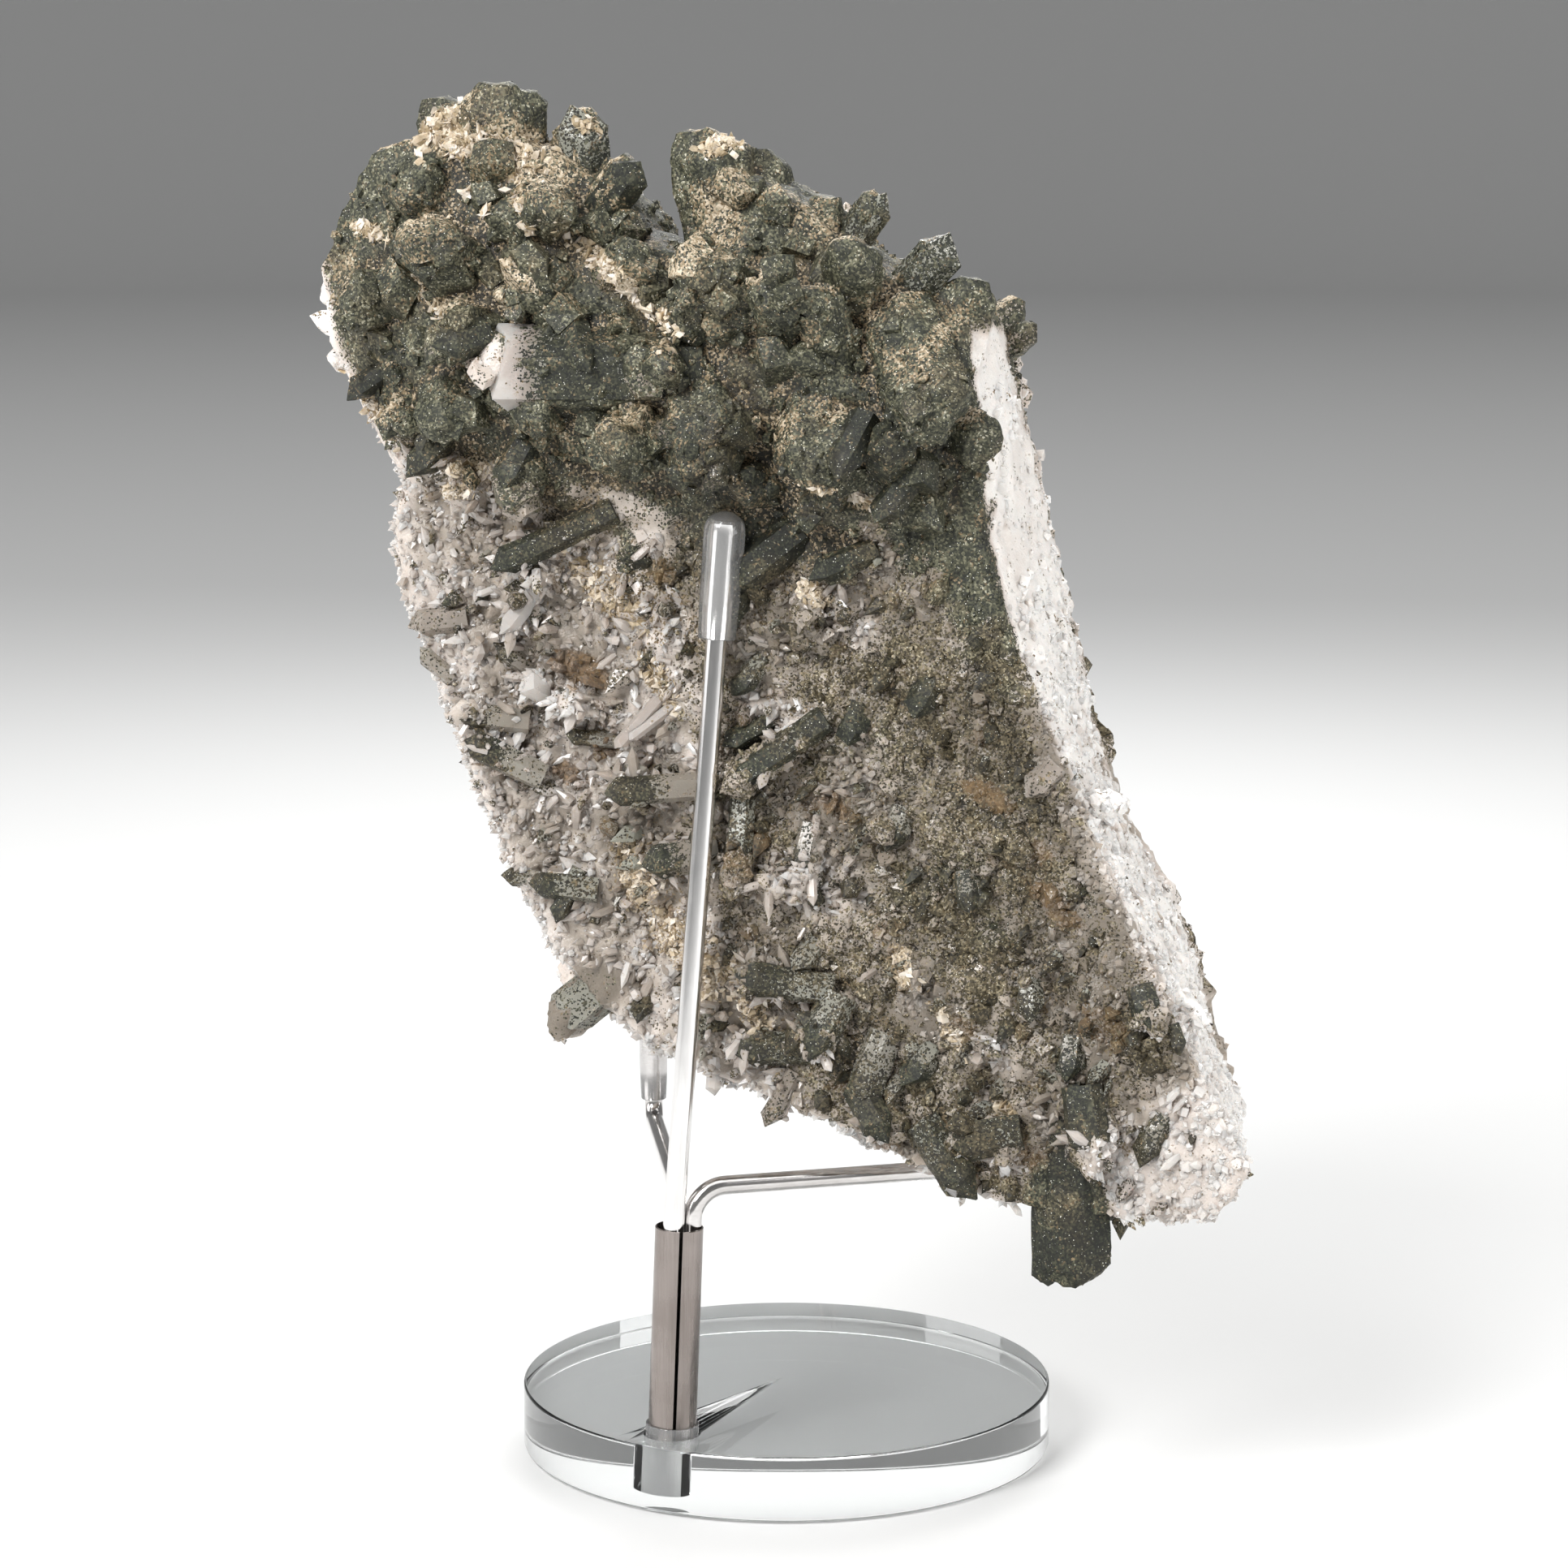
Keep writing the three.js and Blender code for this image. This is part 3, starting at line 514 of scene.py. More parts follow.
def stone_material(name, clearness=0.0, gloss=0.3, relief=0.12, deep=(0.20, 0.17, 0.135), dim=0.25):
    """Quartz under grains of chlorite, cream adularia and stains, where the mesh's attributes put them."""
    shader = Shader(name)
    grains = shader.cells(GRAIN)
    draw = shader.add("SeparateColor", {"Color": grains.outputs["Color"]}).outputs
    clots = shader.noise(420.0, 4.0, 0.62)
    clouds = shader.noise(110.0, 3.0)
    cover = shader.weigh((shader.attribute("cover"), 1.5), (clots, 0.9), (clouds, 0.35), -0.86)
    dotted = shader.weigh((draw["Red"], -0.85), (grains.outputs["Distance"], -0.35), (cover, 1.0), 0.12)
    dotted = shader.step(dotted, 0.0, 0.09)
    chlorite = grain_colour(shader, draw, clots, clouds, dim)
    colour = shader.mix(dotted, quartz_colour(shader, clots, clouds, deep), chlorite)
    colour = stained(shader, with_painted_glints(shader, colour, dotted), draw, clots)
    creamy = shader.weigh((shader.attribute("cream"), 1.25), (clots, 1.3), (draw["Blue"], -1.0), -0.62)
    creamy = shader.step(creamy, 0.0, 0.16)
    pale = shader.weigh((shader.attribute("cream"), 0.9), (clots, 0.5), (draw["Green"], 0.5), -0.5)
    covered = shader.math("MAXIMUM", dotted, creamy)
    height = shader.weigh((grains.outputs["Distance"], -0.6), (draw["Red"], 0.35), (clots, 1.6), 0.0)
    inputs = {
        "Base Color": shader.mix(creamy, colour, shader.ramp(pale, CREAM_DUST)),
        "Roughness": shader.step(covered, 0.0, 1.0, gloss, 0.62),
        "Normal": shader.bump(height, relief, 0.9),
        "IOR": QUARTZ_IOR,
        "Specular IOR Level": 0.42,
        "Subsurface Weight": shader.step(covered, 0.0, 1.0, 0.5, 0.0),
        "Subsurface Radius": (1.0, 0.85, 0.75),
        "Subsurface Scale": 1.6 * MM,
    }
    if clearness > 0:
        inputs["Transmission Weight"] = shader.step(covered, 0.0, 1.0, clearness, 0.0)
    return shader.finish(inputs)


def cream_material(name):
    """Opaque adularia: pale, a little pink, with brown dust in places."""
    shader = Shader(name)
    clots = shader.noise(700.0, 4.0, 0.6)
    clouds = shader.noise(150.0, 2.0)
    dusty = shader.weigh((clots, 1.0), (clouds, 0.7), (shader.attribute("stain"), 0.5), -0.5)
    return shader.finish({
        "Base Color": shader.ramp(dusty, CREAM_BLOCK),
        "Roughness": 0.5,
        "Normal": shader.bump(clots, 0.08, 0.8),
        "Subsurface Weight": 0.3, "Subsurface Radius": (1.0, 0.8, 0.6), "Subsurface Scale": 0.6 * MM,
    })


def clear_material(name, colour, ior, roughness, wear_scale, wear_mm, clearness=1.0):
    """A clear solid whose surface is a little uneven."""
    shader = Shader(name)
    wear = shader.noise(wear_scale, 2.0)
    return shader.finish({
        "Base Color": (*colour, 1),
        "Roughness": shader.step(wear, 0.3, 0.8, roughness * 0.5, roughness * 1.6),
        "Transmission Weight": clearness,
        "IOR": ior,
        "Normal": shader.bump(wear, wear_mm, 0.6),
    })


def metal_material(name, colour, darker, roughness, drawn):
    """Metal with fine lines along its drawn direction and a few faint smudges."""
    shader = Shader(name)
    lines = shader.noise(1.0, 2.0, vector=shader.stretched(drawn))
    smudge = shader.noise(160.0, 2.0)
    worn = shader.weigh((lines, 0.6), (smudge, 0.7), -0.2)
    return shader.finish({
        "Base Color": shader.mix(shader.step(worn, 0.2, 0.8), colour, darker),
        "Metallic": 1.0,
        "Roughness": shader.step(worn, 0.2, 0.8, roughness * 0.7, roughness * 1.4),
        "Normal": shader.bump(lines, 0.004, 0.6),
    })


stone = stone_material("stone")
stone_crystal = stone_material("stone_crystal", gloss=0.16, relief=0.07)
half_clear = stone_material(
    "half_clear", clearness=0.45, gloss=0.1, relief=0.04, deep=(0.45, 0.45, 0.38), dim=0.48,
)
druse = stone_material("druse", clearness=0.3, gloss=0.08, relief=0.03, deep=(0.36, 0.32, 0.27))
milky_crystal = stone_material("milky_crystal", clearness=0.1, gloss=0.14, relief=0.04)
adularia_cream = cream_material("adularia_cream")
acrylic = clear_material("acrylic", (0.97, 0.985, 0.985), 1.49, 0.012, 60.0, 0.002)
silicone = clear_material("silicone", (0.97, 0.97, 0.97), 1.54, 0.05, 500.0, 0.004, clearness=0.9)
tube_steel = metal_material("tube_steel", (0.36, 0.32, 0.30), (0.25, 0.215, 0.195), 0.27, (5000, 5000, 60))
rod_steel = metal_material("rod_steel", (0.94, 0.93, 0.92), (0.80, 0.78, 0.77), 0.15, (4000, 4000, 40))
arm_steel = metal_material("arm_steel", (0.80, 0.78, 0.77), (0.58, 0.55, 0.53), 0.15, (60, 4000, 4000))

# The stand, in mm and degrees. The socket leans with the post, whose heights start at the disc's top
SOCKET = {"x": -15.7, "y": -26.3, "radius": 3.95, "depth": 7.4, "lean": 2.2}
DISC = {"radius": 37.5, "height": 9.0, "edge": 0.4}
LINER = {"outer": 3.65, "inner": 3.45, "floor": 1.2, "collar": 1.5, "edge": 0.15}
TUBE = {"outer": 3.3, "inner": 3.1, "length": 29.2, "slit": 0.24, "seam": -84, "edge": 0.08}
CAP = {"foot": -15.5, "top": 1.7, "grip": 0.03}
GAP = 0.3
NEAR_AXIS = 0.01
POST_LEAN = math.radians(SOCKET["lean"])
POST_ORIGIN = np.array([SOCKET["x"], SOCKET["y"], DISC["height"]])
POST_AXES = np.array([
    [math.cos(POST_LEAN), 0, -math.sin(POST_LEAN)],
    [0, 1, 0],
    [math.sin(POST_LEAN), 0, math.cos(POST_LEAN)],
])
LINER_FOOT = -SOCKET["depth"] + GAP
LINER_FLOOR = LINER_FOOT + LINER["floor"]
TUBE_FOOT = LINER_FLOOR + GAP
# Where the rods bend above the tube, on the post
TALL_BEND, ARM_BEND = TUBE["length"] + 1.3, 34.6
# The rods: node, place in the tube, height of the first bend, the corners after it, then the radius of the
# bends, of the rod and of its cap, and the steel
RODS = {
    "tall": ("tall_rod", (-0.75, -1.3), TALL_BEND, [(-8.2, -22, 133.6)], 30, 1.45, 2.8, rod_steel),
    "right": ("right_arm", (1.72, 0.33), ARM_BEND, [(54, -5, 43), (54, -5, 63.2)], 4.6, 1.3, 2.1, arm_steel),
    "back": (
        "back_arm", (-0.66, 1.62), ARM_BEND, [(-19.3, 17, 42.7), (-19.3, 17, 61.1)],
        2.8, 1.3, 2.1, arm_steel,
    ),
}


def from_post(points):
    return np.asarray(points, float) @ POST_AXES + POST_ORIGIN


def ring_faces(rings, around):
    """Faces of a closed shape whose points come ring by ring, with a flat face at each end."""
    faces = []
    for start in range(0, (rings - 1) * around, around):
        for k in range(around):
            a, b = start + k, start + (k + 1) % around
            faces.append((a, b, b + around, a + around))
    faces.append(tuple(range(around))[::-1])
    faces.append(tuple(range((rings - 1) * around, rings * around)))
    return faces


def lathe(profile, sides):
    """Points and faces of a profile of (radius, height) turned round +Z, with flat ends."""
    angles = np.arange(sides) * 2 * math.pi / sides
    points = [[r * math.cos(a), r * math.sin(a), z] for r, z in profile for a in angles]
    return np.array(points), ring_faces(len(profile), sides)


def rounded(profile, size, steps=4):
    """The profile with every corner between its ends rounded off."""
    made = [profile[0]]
    for before, corner, after in zip(profile, profile[1:], profile[2:]):
        before, corner, after = (np.array(p, float) for p in (before, corner, after))
        reach = min(size, np.linalg.norm(before - corner) * 0.45, np.linalg.norm(after - corner) * 0.45)
        start = corner + unit(before - corner) * reach
        end = corner + unit(after - corner) * reach
        for t in np.linspace(0, 1, steps):
            made.append(tuple((1 - t) ** 2 * start + 2 * t * (1 - t) * corner + t * t * end))
    made.append(profile[-1])
    return made


def cut(piece, points, faces):
    """Takes a closed shape away from a piece."""
    mesh = bpy.data.meshes.new("cutter")
    mesh.from_pydata(points, [], faces)
    cutter = bpy.data.objects.new("cutter", mesh)
    bpy.context.scene.collection.objects.link(cutter)
    applied(piece, "cut", "BOOLEAN", operation="DIFFERENCE", object=cutter, solver="EXACT")
    bpy.data.objects.remove(cutter)


def make_disc():
    """The clear disc with its blind socket."""
    radius, height, edge = DISC["radius"], DISC["height"], DISC["edge"]
    profile = rounded([(NEAR_AXIS, 0), (radius, 0), (radius, height), (NEAR_AXIS, height)], edge)
    points, faces = lathe(profile, 180)
    disc = make_piece("acrylic_disc", points * MM, faces, acrylic, ["base_disc"])
    past_the_top = 4
    bore_points, bore_faces = lathe([(SOCKET["radius"], z) for z in (-SOCKET["depth"], past_the_top)], 72)
    cut(disc, from_post(bore_points) * MM, bore_faces)
    disc.data.shade_smooth()
    applied(disc, "edges", "WEIGHTED_NORMAL", keep_sharp=True)


def make_liner():
    """The clear plug in the socket: a cup whose wall stands up round the tube as a collar."""
    outer, inner, collar = LINER["outer"], LINER["inner"], LINER["collar"]
    profile = rounded([
        (NEAR_AXIS, LINER_FOOT), (outer, LINER_FOOT), (outer, collar), (inner, collar), (inner, LINER_FLOOR),
        (NEAR_AXIS, LINER_FLOOR),
    ], LINER["edge"])
    points, faces = lathe(profile, 64)
    make_piece("liner", from_post(points) * MM, faces, silicone, ["socket_liner"], smooth=True)


def make_tube():
    """The post's tube, rolled from sheet, with its seam open a hair's breadth in front."""
    outer, inner, edge, top = (TUBE[key] for key in ("outer", "inner", "edge", "length"))
    opening = math.asin(TUBE["slit"] / outer)
    seam = math.radians(TUBE["seam"])
    angles = np.linspace(seam + opening, seam + 2 * math.pi - opening, 73)
    section = [
        (outer - edge, TUBE_FOOT), (outer, TUBE_FOOT + edge), (outer, top - edge), (outer - edge, top),
        (inner, top), (inner, TUBE_FOOT),
    ]
    points = [[r * math.cos(a), r * math.sin(a), z] for a in angles for r, z in section]
    count = len(section)
    faces = [
        (i * count + k, (i + 1) * count + k, (i + 1) * count + (k + 1) % count, i * count + (k + 1) % count)
        for i in range(len(angles) - 1) for k in range(count)
    ]
    faces.append(tuple(range(count)))
    faces.append(tuple(range(len(points) - count, len(points)))[::-1])
    tube = make_piece(
        "tube", from_post(points) * MM, faces, tube_steel, ["post_tube"], smooth=True,
    )
    tube.data.set_sharp_from_angle(angle=math.radians(35))


def bent_wire(corners, bend_radius, steps=14):
    """The points of a wire that is straight between its corners and round at them."""
    corners = [np.array(corner, float) for corner in corners]
    points = [corners[0]]
    for before, corner, after in zip(corners, corners[1:], corners[2:]):
        back, on = unit(before - corner), unit(after - corner)
        half = math.acos(np.clip(back @ on, -1, 1)) / 2
        centre = corner + unit(back + on) * bend_radius / math.sin(half)
        start = corner + back * bend_radius / math.tan(half) - centre
        end = corner + on * bend_radius / math.tan(half) - centre
        sweep = math.acos(np.clip(unit(start) @ unit(end), -1, 1))
        for t in np.linspace(0, 1, steps):
            turned = (start * math.sin((1 - t) * sweep) + end * math.sin(t * sweep)) / math.sin(sweep)
            points.append(centre + turned)
    points.append(corners[-1])
    return points


def sweep(points, radii, sides=28):
    """A round bar along points, with a radius at each of them."""
    points = np.array(points, float)
    steps = [points[1:2] - points[:1], points[2:] - points[:-2], points[-1:] - points[-2:-1]]
    along = unit(np.vstack(steps))
    side = unit(np.cross(along[0], [0.3, 1, 0.2]))
    made = []
    for point, heading, radius in zip(points, along, radii):
        side = unit(side - heading * (side @ heading))
        other = np.cross(heading, side)
        for a in np.arange(sides) * 2 * math.pi / sides:
            made.append(point + radius * (math.cos(a) * side + math.sin(a) * other))
    return np.array(made), ring_faces(len(points), sides)


def rod(name, corners, bend_radius, radius, material, node):
    """A bent steel rod with a small bevel at each end."""
    points = bent_wire(corners, bend_radius)
    bevel = 0.25
    first, last = unit(points[1] - points[0]), unit(points[-1] - points[-2])
    points = [points[0], points[0] + first * bevel, *points[1:-1], points[-1] - last * bevel, points[-1]]
    radii = [radius - bevel] + [radius] * (len(points) - 2) + [radius - bevel]
    made, faces = sweep(points, radii)
    piece = make_piece(name, made * MM, faces, material, [node], smooth=True)
    piece.data.set_sharp_from_angle(angle=math.radians(32))
    return points[-1], last


def sleeve(name, end, along, rod_radius, outer, node):
    """A clear cap that grips the end of a rod: a cup with a domed top."""
    foot, top = CAP["foot"], CAP["top"]
    bore = rod_radius - CAP["grip"]
    middle, nearly_up = 0.05, math.pi / 2 - 0.08
    dome = [(outer * math.cos(a), -0.9 + 2.6 * math.sin(a)) for a in np.linspace(0.12, nearly_up, 9)]
    hollow = [(bore * math.cos(a), 0.3 * math.sin(a)) for a in np.linspace(nearly_up, 0.0, 6)]
    profile = [
        (middle, top), *dome[::-1], (outer, -1.4), (outer - 0.08, foot * 0.7), (outer - 0.25, foot + 0.15),
        (outer - 0.4, foot), (bore + 0.12, foot), (bore, foot + 0.15), *hollow[::-1], (middle, 0.3),
    ]
    points, faces = lathe(profile[::-1], 48)
    turn = Vector((0, 0, 1)).rotation_difference(Vector(along)).to_matrix()
    points = points @ np.array(turn).T + end
    piece = make_piece(name, points * MM, faces, silicone, [node], smooth=True)
    piece.data.set_sharp_from_angle(angle=math.radians(50))


def make_stand():
    make_disc()
    make_liner()
    make_tube()
    for name, (node, (x, y), first_bend, corners, bend, radius, cap, steel) in RODS.items():
        in_tube = [from_post((x, y, height)) for height in (TUBE_FOOT + GAP, first_bend)]
        end, along = rod(f"rod_{name}", in_tube + corners, bend, radius, steel, node)
        sleeve(f"sleeve_{name}", end, along, radius, cap, node + "_sleeve")


make_stand()

# The specimen, and the stand's solids in the plate's frame
stand_tree = []
for stand_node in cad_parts:
    if stand_node != "quartz_specimen":
        stand_points, stand_faces, _ = mesh_arrays(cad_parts[stand_node].data)
        stand_tree.append(BVHTree.FromPolygons(to_plate(stand_points).tolist(), stand_faces.tolist()))


def room(points, reach=6.0):
    """How far each point is from the stand's solids, in mm, up to the reach."""
    found = np.full(len(points), reach)
    for i, point in enumerate(points.tolist()):
        for tree in stand_tree:
            near = tree.find_nearest(point, reach)
            if near[0] is not None:
                found[i] = min(found[i], near[3])
    return found


def facets(points, count, slope, seed):
    """Heights that break a surface into about this many flat facets, each tilted its own way."""
    draw = np.random.default_rng(seed)
    seeds = points[draw.choice(len(points), count, replace=False)]
    tilts = unit(draw.normal(size=(count, 3))) * draw.uniform(0.3, 1, (count, 1)) * slope
    tree = KDTree(count)
    for number, seed_point in enumerate(seeds.tolist()):
        tree.insert(seed_point, number)
    tree.balance()
    owner = np.array([tree.find(point)[1] for point in points.tolist()])
    return ((points - seeds[owner]) * tilts[owner]).sum(1)


def hollows(points, faces, normals, rounds=40):
    """How deep each point lies in a hollow of the surface, from 0 to 1."""
    links = np.concatenate([faces[:, [0, 1]], faces[:, [1, 2]], faces[:, [2, 0]]])
    links = np.concatenate([links, links[:, ::-1]])
    counts = np.maximum(np.bincount(links[:, 0], minlength=len(points)), 1)
    smooth = points.copy()
    for _ in range(rounds):
        for axis in range(3):
            smooth[:, axis] = np.bincount(links[:, 0], smooth[links[:, 1], axis], len(points)) / counts
    return ramp(((smooth - points) * normals).sum(1), 0.1, 0.9)


def make_body():
    """The fused stone under its crystals: the solid, remeshed finely and made uneven."""
    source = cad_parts["quartz_specimen"].data.copy()
    body = bpy.data.objects.new("quartz_body", source)
    bpy.context.scene.collection.objects.link(body)
    mesh = applied(body, "remesh", "REMESH", mode="SHARP", octree_depth=8, scale=0.76, use_smooth_shade=True)
    points, faces, normals = mesh_arrays(mesh)
    place = to_plate(points)
    facing = normals @ PLATE_AXES.T
    calm = 1 - 0.65 * masks(place, facing)["dark"]
    lift = 0.08 * field(place, 3.2, 11) + 0.09 * field(place, 1.2, 12)
    lift = lift + (facets(place, 5200, 0.42, 14) + facets(place, 1400, 0.16, 15)) * calm
    lift = np.clip(lift, -1.0, 0.8) * ramp(room(place), 0.5, 3)
    place = place + facing * lift[:, None]
    quads = [tuple(polygon.vertices) for polygon in mesh.polygons]
    bpy.data.objects.remove(body)
    attributes = masks(place, facing)
    # Painted shade: the deeper the stone lies in a hollow, the darker it is painted
    attributes["hollow"] = np.maximum(attributes["hollow"], hollows(place, faces, facing))
    dust = attributes["hollow"] * (0.2 + 0.14 * attributes["dark"])
    attributes["cream"] = np.maximum(attributes["cream"], dust)
    attributes["dark"] = attributes["dark"] * (1 - 0.6 * attributes["hollow"])
    make_piece("quartz_body", to_world(place), quads, stone, ["quartz_specimen"], attributes, True)
    return place, faces, facing


body_points, body_faces, body_normals = make_body()
body_tree = BVHTree.FromPolygons(body_points.tolist(), body_faces.tolist())
corners = body_points[body_faces]
crossed = np.cross(corners[:, 1] - corners[:, 0], corners[:, 2] - corners[:, 0])
face_areas = np.linalg.norm(crossed, axis=1) / 2
face_centres = corners.mean(1)
face_normals = unit(body_normals[body_faces].mean(1))
face_masks = masks(face_centres, face_normals)
for hanging in (PRISM, TABLET):
    face_areas = face_areas * (1 - patch(face_centres, *hanging, soft=0.15))
face_areas = face_areas * (1 - 0.95 * patch(face_centres, *BULGE))

SIDES = 6


def crystals(roots, axes, lengths, widths, tips, flatness=0.85, rough=0.1):
    """Points and triangles of six-sided prisms with pointed ends. Each has a foot, a shoulder and a tip."""
    count = len(roots)
    side = unit(np.cross(axes, unit(rng.normal(size=(count, 3)))))
    other = np.cross(axes, side)
    angles = (np.arange(SIDES) + rng.uniform(0, 1, (count, 1))) * 2 * math.pi / SIDES
    angles = angles + rng.normal(0, rough * 0.8, (count, SIDES))
    radii = widths[:, None] / 2 * (1 + rng.normal(0, rough, (count, SIDES)))
    ring = (np.cos(angles) * radii)[..., None] * side[:, None]
    ring = ring + (np.sin(angles) * radii * flatness)[..., None] * other[:, None]
    uneven = np.where(np.arange(SIDES) % 2, 0.16, -0.16) * widths[:, None]
    shoulder_height = lengths[:, None] * (1 - tips[:, None]) + uneven * rng.uniform(0.3, 1, (count, 1))
    foot = roots[:, None] + ring * 0.92
    shoulder = roots[:, None] + ring + axes[:, None] * shoulder_height[..., None]
    lean = rng.uniform(-0.16, 0.16, (count, 2)) * widths[:, None]
    tip = roots + axes * lengths[:, None] + side * lean[:, :1] + other * lean[:, 1:]
    points = np.concatenate([foot, shoulder, tip[:, None]], axis=1)
    faces = []
    for k in range(SIDES):
        n = (k + 1) % SIDES
        faces += [(k, n, SIDES + n), (k, SIDES + n, SIDES + k), (SIDES + k, SIDES + n, 2 * SIDES)]
    faces += [(0, k + 1, k) for k in range(1, SIDES - 1)]
    per = 2 * SIDES + 1
    triangles = (np.array(faces)[None] + (np.arange(count) * per)[:, None, None]).reshape(-1, 3)
    return points.reshape(-1, 3), triangles, per


def spread(weights, count):
    """Picks faces of the body at random, by area and weight."""
    chance = face_areas * weights
    return rng.choice(len(chance), size=count, p=chance / chance.sum())


def point_normals(points, faces):
    """The direction each point of a loose mesh faces."""
    mesh = bpy.data.meshes.new("loose")
    mesh.from_pydata(points * MM, [], faces)
    normals = np.zeros(len(points) * 3)
    mesh.vertices.foreach_get("normal", normals)
    bpy.data.meshes.remove(mesh)
    return normals.reshape(-1, 3)


def scatter(
    name, weights, count, width, length, tilt, material, tip=0.35, bias=(0, 0, 0), change=None, sunk=0.35,
):
    """Many small crystals in one piece; width and length are ranges in mm, tilt a spread off the normal.

    A crystal is left out if its middle or its tip comes too near the stand.
    """
    picked = spread(weights, count)
    roots = face_centres[picked] + rng.normal(0, 0.2, (count, 3))
    axes = unit(face_normals[picked] + rng.normal(0, tilt, (count, 3)) + np.array(bias))
    small = rng.random(count) ** 2
    widths = lerp(width[0], width[1], small)
    lengths = lerp(length[0], length[1], small * rng.uniform(0.5, 1, count) + 0.2 * rng.random(count))
    buried = sunk * widths
    roots = roots - axes * buried[:, None]
    lengths = lengths + buried
    tips = np.clip(tip * widths / lengths * rng.uniform(0.7, 1.6, count), 0.08, 0.8)
    free = room(roots + axes * lengths[:, None]) > 0.35 + widths * 0.3
    free &= room(roots + axes * lengths[:, None] * 0.5) > 0.35 + widths * 0.5
    roots, axes, lengths, widths, tips = (values[free] for values in (roots, axes, lengths, widths, tips))
    points, triangles, per = crystals(roots, axes, lengths, widths, tips)
    at_root = masks(roots, face_normals[picked][free])
    attributes = {key: np.repeat(values, per) for key, values in at_root.items()}
    # Partly painted light: cream on faces turned up and to the left, towards the light on the left
    dust = dust_and_painted_light(np.repeat(roots, per, axis=0), point_normals(points, triangles)) * attributes["dark"]
    attributes["cream"] = np.maximum(attributes["cream"], dust)
    if change:
        heights = np.tile([0.0] * SIDES + [0.8] * SIDES + [1.0], len(roots))
        change(attributes, heights, np.repeat(rng.random(len(roots)), per))
    return make_piece(name, to_world(points), triangles, material, attributes=attributes)


def bright(attributes, heights, draws):
    """Clear crystals: whiter than the stone between them, which is painted in shade, less coated, and a few
    dark at the tip.
    """
    attributes["cover"] = np.clip(attributes["cover"] * 0.6 + (draws > 0.92) * heights * 0.6, 0, 1)
    attributes["milk"] = np.clip(0.3 + 0.76 * attributes["milk"] + 0.5 * (draws * 7.3 % 1 - 0.4), 0, 1)


def clean(attributes, _heights, _draws):
    """The crystals of the broken side carry next to no chlorite."""
    attributes["cover"] = attributes["cover"] * 0.3
    attributes["milk"] = np.clip(attributes["milk"] + 0.15, 0, 1)


def dark_tips(attributes, heights, draws):
    """Crystals that chlorite has coated towards the tip."""
    attributes["cover"] = np.clip(attributes["cover"] + heights * (0.25 + 0.6 * draws), 0, 1)
    attributes["dark"] = np.maximum(attributes["dark"], 0.5 * heights * draws)
    attributes["cream"] = attributes["cream"] * 0.4


def varied_cover(attributes, _heights, draws):
    """Coated crystals, some a little more and some a little less."""
    attributes["cover"] = np.clip(attributes["cover"] + (draws - 0.5) * 0.35, 0, 1)
    attributes["milk"] = np.clip(attributes["milk"] + (0.5 - draws) * 0.3, 0, 1)


on_front = 1 - ramp(face_centres[:, 1], -12, -8)
on_back = ramp(face_centres[:, 1], 7, 11)
on_side = np.clip(1 - on_front - on_back, 0, 1)
dark_share = face_masks["dark"]
bare_share = np.clip(1 - face_masks["cover"] * 1.6, 0, 1)

